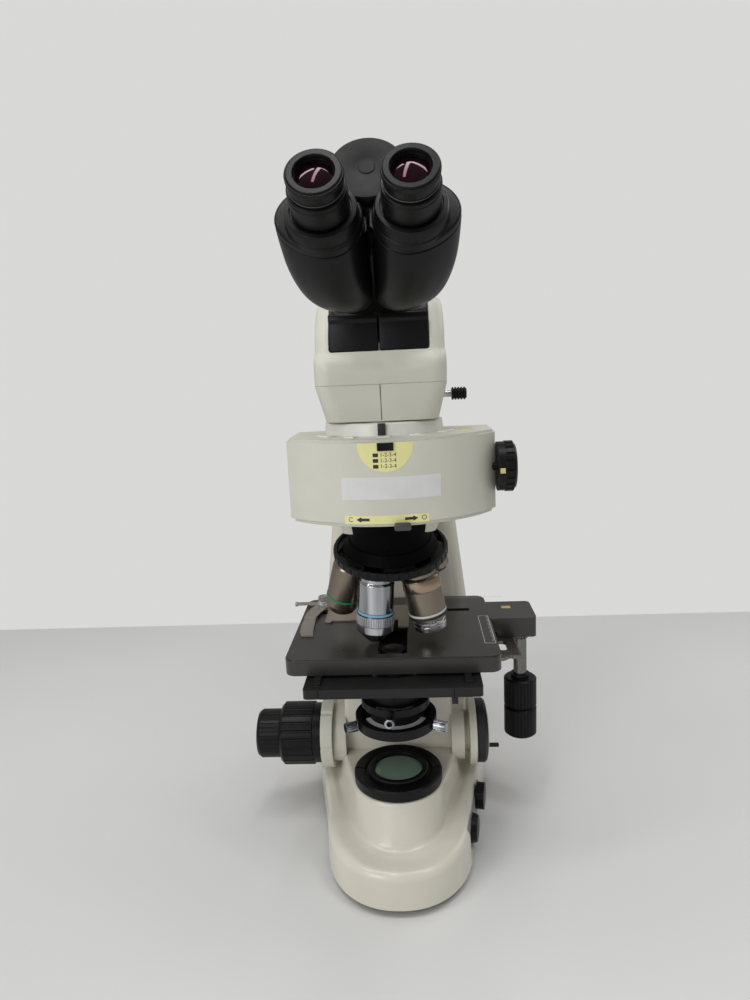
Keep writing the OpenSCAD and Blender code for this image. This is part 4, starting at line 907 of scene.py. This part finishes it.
# %% Head shells
REAR_CORNER, CORNER_STEPS, FRONT_STEPS = 6, 14, 20
CREASE_HALF, CREASE_BACK = 45, 10


def round_slab(half, front, back, corner, height, dip=0.0):
    points = []
    rear = REAR_CORNER
    for turn, cx, cy, r in ((270, half - corner, front + corner, corner),
                            (0, half - rear, back - rear, rear), (90, -half + rear, back - rear, rear),
                            (180, -half + corner, front + corner, corner)):
        for k in range(CORNER_STEPS + 1):
            a = math.radians(turn + 90 * k / CORNER_STEPS)
            x, y = cx + r * math.cos(a), cy + r * math.sin(a)
            lift = dip * (x / CREASE_HALF) ** 2 if y < CREASE_BACK else 0
            points.append((x, y, height + lift))
    left_x, right_x = -half + corner, half - corner
    for k in range(1, FRONT_STEPS):
        x = left_x + (right_x - left_x) * k / FRONT_STEPS
        points.append((x, front, height + dip * (x / CREASE_HALF) ** 2))
    return points


HEAD_STATIONS = [
    (52.3, -45, 84, 14, 438.1, 0),
    (52.5, -46.2, 84.5, 14, 443, 2.5),
    (52.4, -46.4, 85, 14, 447.5, 6),
    (52.2, -43.6, 85, 13.5, 453.5, 5),
    (51.8, -39.6, 84.5, 13, 459.5, 2.2),
    (51.6, -37.4, 84, 12, 465, 0),
    (51.6, -33.6, 82, 12, 476, 0),
    (51.4, -25, 79, 11, 489, 0),
    (50.6, -17.5, 76, 10.5, 499, 0),
    (48.6, -12.5, 73.5, 10, 503.6, 0),
    (45.6, -10, 71, 9, 505.7, 0),
]
upper = loft([round_slab(half, front, back, corner, height, dip)
              for half, front, back, corner, height, dip in smooth_between(HEAD_STATIONS, 3)])
cut(upper, cut_box((-39.5, -80, 463.5), (39.5, 40, 520), 2.5))
settle(upper, "head_shell", "stand", FINISHES["cream_plastic"], angle=50)
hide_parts("head_upper")

line_black = enamel("gap_black", (0.02, 0.02, 0.02), 0.6)


def sliver(name, body, corners, width):
    piece = loft([[(x, y, z) for x, y, z in corners],
                  [(x + width[0], y + width[1], z + width[2]) for x, y, z in corners]])
    return settle(piece, name, body, line_black)


SPLIT = 0.5
SPLIT_SHAPE = ((-40.35, 410), (-44.95, 436.6), (-43, 436.6), (-38, 410))
sliver("head_split", "stand", [(-SPLIT / 2, y, z) for y, z in SPLIT_SHAPE], (SPLIT, 0, 0))
for side, side_name in ((-1, "left"), (1, "right")):
    inner, outer = side * 0.45, side * 39
    profile = [(-37, 463.7), (-34.2, 486), (-35.8, 487.5), (-35, 492.5), (-29, 492.5), (-28, 489.5),
               (-28, 463.7)]
    cover = loft([[(x, y, z) for y, z in profile] for x in (inner, outer)])
    modify(cover, "BEVEL", width=1.2 * MM, segments=3, limit_method="ANGLE")
    settle(cover, "cover_half_" + side_name, "stand", FINISHES["black_plastic"])
    if side < 0:
        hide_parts("tilt_cover")

ring_white = finish("ring_enamel", (0.80, 0.79, 0.74), 0.35, mottle=0.02, coat=0.2)
frame["nodes"]["head_ring"].data.materials[0] = ring_white
block("ring_key", "stand", line_black, (-3.1, -51.7, 398.8), (3.1, -48.9, 408.2), 0.5)

# %% [markdown]
# ## Light path knob
# A chrome rod leaves the right side of the head and carries a black knob of five rounded ribs.

# %% Light path knob
rod_place = facing_x(0, -8, 427)
rod = turned("light_path_pin", "light_path", FINISHES["chrome_metal"], rod_place,
             [(0, 40.5), (2.55, 40.5), (2.55, 58), (0, 58)])
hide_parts("light_path_rod")
KNOB_START, KNOB_END, RIB_PITCH = 57, 69.2, 2.4
RIB = ((4.2, 0), (5.1, 0.3), (5.3, 0.9), (5.1, 1.5), (4.2, 1.8))
rib_profile = [(0, KNOB_START)]
for k in range(5):
    rib_profile += [(radius, KNOB_START + RIB_PITCH * k + height) for radius, height in RIB]
rib_profile += [(4.2, KNOB_END), (0, KNOB_END)]
knob = turned("light_path_knob", "light_path", FINISHES["black_plastic"], rod_place, rib_profile)

# %% [markdown]
# ## Focus disc, aperture lever and field lens
# The right end of the focus shaft is a flat black disc with a small black pin. The aperture lever is a
# chrome cone with a hollow end. The field lens is a low dome of green coated glass.

# %% Small turned parts
disc_black = finish("disc_black", (0.010, 0.010, 0.011), 0.5, mottle=0.2, skin=0.05)
focus_place = facing_x(0, FOCUS_Y, FOCUS_Z)
turned("focus_disc", "coarse", disc_black, focus_place,
       [(31.3, 77.85), (31.3, 85.1), (29.3, 87.2), (26.2, 88.2), (8, 88.2), (8, 87.8), (26, 87.8),
        (29, 86.8), (30.8, 85), (30.8, 77.85)], ring=True)
cap = turned("fine_cap", "fine", FINISHES["cream_plastic"], focus_place,
             [(0, 88.45), (19.2, 88.45), (19.6, 88.8), (19.4, 89.3), (18.6, 89.6), (0, 89.7)])
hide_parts("fine_disc")
turned("focus_pin", "fine", disc_black, facing_x(0, FOCUS_Y, FOCUS_Z - 17.4),
       [(0, 89.5), (2.15, 89.5), (2.15, 100.6), (1.9, 100.9), (0, 100.9)], sides=48)
lever_place = (Matrix.Translation((0, 0, 153.5 * MM)) @ Matrix.Rotation(math.radians(-5), 4, "Z")
               @ Matrix.Rotation(math.radians(90), 4, "X"))
turned("aperture_lever", "aperture", FINISHES["chrome_metal"], lever_place,
       [(2.25, 33.9), (3.1, 33.9), (4.5, 42), (4.5, 47.6), (4.1, 48.1), (2.6, 48.1), (2.3, 47.6),
        (2.25, 42)], ring=True, sides=64)
field_coat = glass("field_coating", (0.26, 0.38, 0.28), 0.05, 0.25)
field_coat.node_tree.nodes["Principled BSDF"].inputs["Specular IOR Level"].default_value = 0.9
lens = turned("field_glass", "stand", field_coat, None,
              [(0, 75.6), (21.9, 75.6), (21.9, 81.7), (22.55, 81.7), (22.55, 82.3), (18, 82.9),
               (10, 83.6), (0, 84)])
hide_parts("field_lens")

block("knob_tag", "turret_knob", enamel("knob_tag_yellow", (0.66, 0.58, 0.22)), (91.6, -48.0, 365),
      (95.6, -46, 369), 0.2)

# %% [markdown]
# ## Nosepiece mount and the sprung tip
# The mount between the arm and the revolver is turned too: a cone on a cylinder. Only its front half
# shows, so the rest is taken away with a box. The sprung tip of the right objective has a bright knurl
# and a dark gap.

# %% Mount and tip
mount_black = finish("mount_black", (0.001, 0.001, 0.0012), 0.6, mottle=0.2, skin=0.03, sheen=0.06)
frame["nodes"]["nosepiece_mount"].data.materials[0] = mount_black
plate_black = finish("plate_black", (0.012, 0.012, 0.012), 0.45, mottle=0.25, skin=0.12, sheen=0.35)
frame["nodes"]["stage_lower_plate"].data.materials[0] = plate_black
nose_frame = Matrix.Translation(nose_centre) @ Matrix.Rotation(NOSE_TILT, 4, "X")
mount = turned("mount_front", "stand", mount_black, nose_frame,
               [(0, 12.4), (43.96, 12.4), (37.96, 21.3), (36.96, 21.3), (36.96, 80), (0, 80)])
cut(mount, cut_box((-60, -60, 200), (60, 9, 330.9)), "INTERSECT")
tip_chrome = finish("tip_chrome", (0.50, 0.50, 0.50), 0.22, metal=1.0, mottle=0.12, skin=0.02)
turned("tip_sleeve", "tip", tip_chrome, on_port(1),
       [(14.1, -54.8), (14.5, -54.8), (14.8, -54.4), (14.8, -50.2), (14.4, -49.9), (14.4, -49.5),
        (14.8, -49.2), (14.8, -46.5), (14.5, -46.2), (14.1, -46.2)], ring=True)
band("tip_gap", "nosepiece", line_black, on_port(1), 17.08 * MM, -41.9 * MM, -39.9 * MM, wall=0.4 * MM)
copper = finish("copper_tone", (0.37, 0.285, 0.21), 0.2, metal=1.0, mottle=0.04, mottle_scale=12, skin=0.0)
band("copper_shoulder", "nosepiece", copper, on_port(1), 17.2 * MM, -15.5 * MM, -5.2 * MM, wall=0.35 * MM)

# %% [markdown]
# ## Floor and light
# The object stands on a plain pale floor in soft light from above and in front, as in a room with ceiling
# lamps. The world is white to the camera and dimmer to the surfaces, so that the background costs no
# extra light on the cream paint.

# %% Floor and light
TABLE_EDGE = 0.607
FLOOR_SIZE, FLOOR_ASPECT = 3, 3
nothing_selected()
bpy.ops.mesh.primitive_plane_add(size=FLOOR_SIZE, location=(0, TABLE_EDGE - FLOOR_SIZE / 2, 0))
floor = bpy.context.object
floor.scale = (FLOOR_ASPECT, 1, 1)
bpy.ops.object.transform_apply(location=True, rotation=True, scale=True)
floor.name = "floor"
floor_material, floor_tree, floor_shader = new_material("pale_floor")
floor_tree.links.new(ramp(floor_tree, noise(floor_tree, 2), (0.72, 0.72, 0.71), (0.75, 0.75, 0.74)),
                     floor_shader.inputs["Base Color"])
floor_shader.inputs["Roughness"].default_value = 0.6
floor.data.materials.append(floor_material)
floor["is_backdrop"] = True

world = bpy.data.worlds.new("soft_room")
bpy.context.scene.world = world
world.use_nodes = True
sky = world.node_tree
sky.nodes.clear()
ray = sky.nodes.new("ShaderNodeLightPath")
seen = sky.nodes.new("ShaderNodeBackground")
seen.inputs["Color"].default_value = (0.69, 0.695, 0.68, 1)
lit = sky.nodes.new("ShaderNodeBackground")
lit.inputs["Color"].default_value = (0.83, 0.83, 0.83, 1)
lit.inputs["Strength"].default_value = 0.40
choice = sky.nodes.new("ShaderNodeMixShader")
out = sky.nodes.new("ShaderNodeOutputWorld")
sky.links.new(ray.outputs["Is Camera Ray"], choice.inputs["Fac"])
sky.links.new(lit.outputs["Background"], choice.inputs[1])
sky.links.new(seen.outputs["Background"], choice.inputs[2])
sky.links.new(choice.outputs["Shader"], out.inputs["Surface"])

LAMPS = {
    "ceiling_left": ((-0.75, -0.35, 1.9), (0.12, 1.3), 6),
    "ceiling_middle": ((-0.1, -0.35, 1.9), (0.12, 1.3), 6),
    "ceiling_right": ((0.55, -0.35, 1.9), (0.12, 1.3), 6),
    "front_left": ((-1.0, -1.5, 0.9), (0.9, 0.9), 10.5),
    "back_right": ((1.3, 1.0, 1.3), (0.9, 0.9), 4),
}
target = Vector((0, 0, 0.3))
for lamp_name, (place, size, power) in LAMPS.items():
    data = bpy.data.lights.new(lamp_name, "AREA")
    data.shape = "RECTANGLE"
    data.size, data.size_y = size
    data.energy = power
    lamp = bpy.data.objects.new(lamp_name, data)
    bpy.context.scene.collection.objects.link(lamp)
    lamp.location = place
    lamp.rotation_mode = "QUATERNION"
    lamp.rotation_quaternion = (target - Vector(place)).to_track_quat("-Z", "Y")
bpy.context.scene.view_settings.view_transform = "Standard"

# %% Last line
low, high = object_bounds()
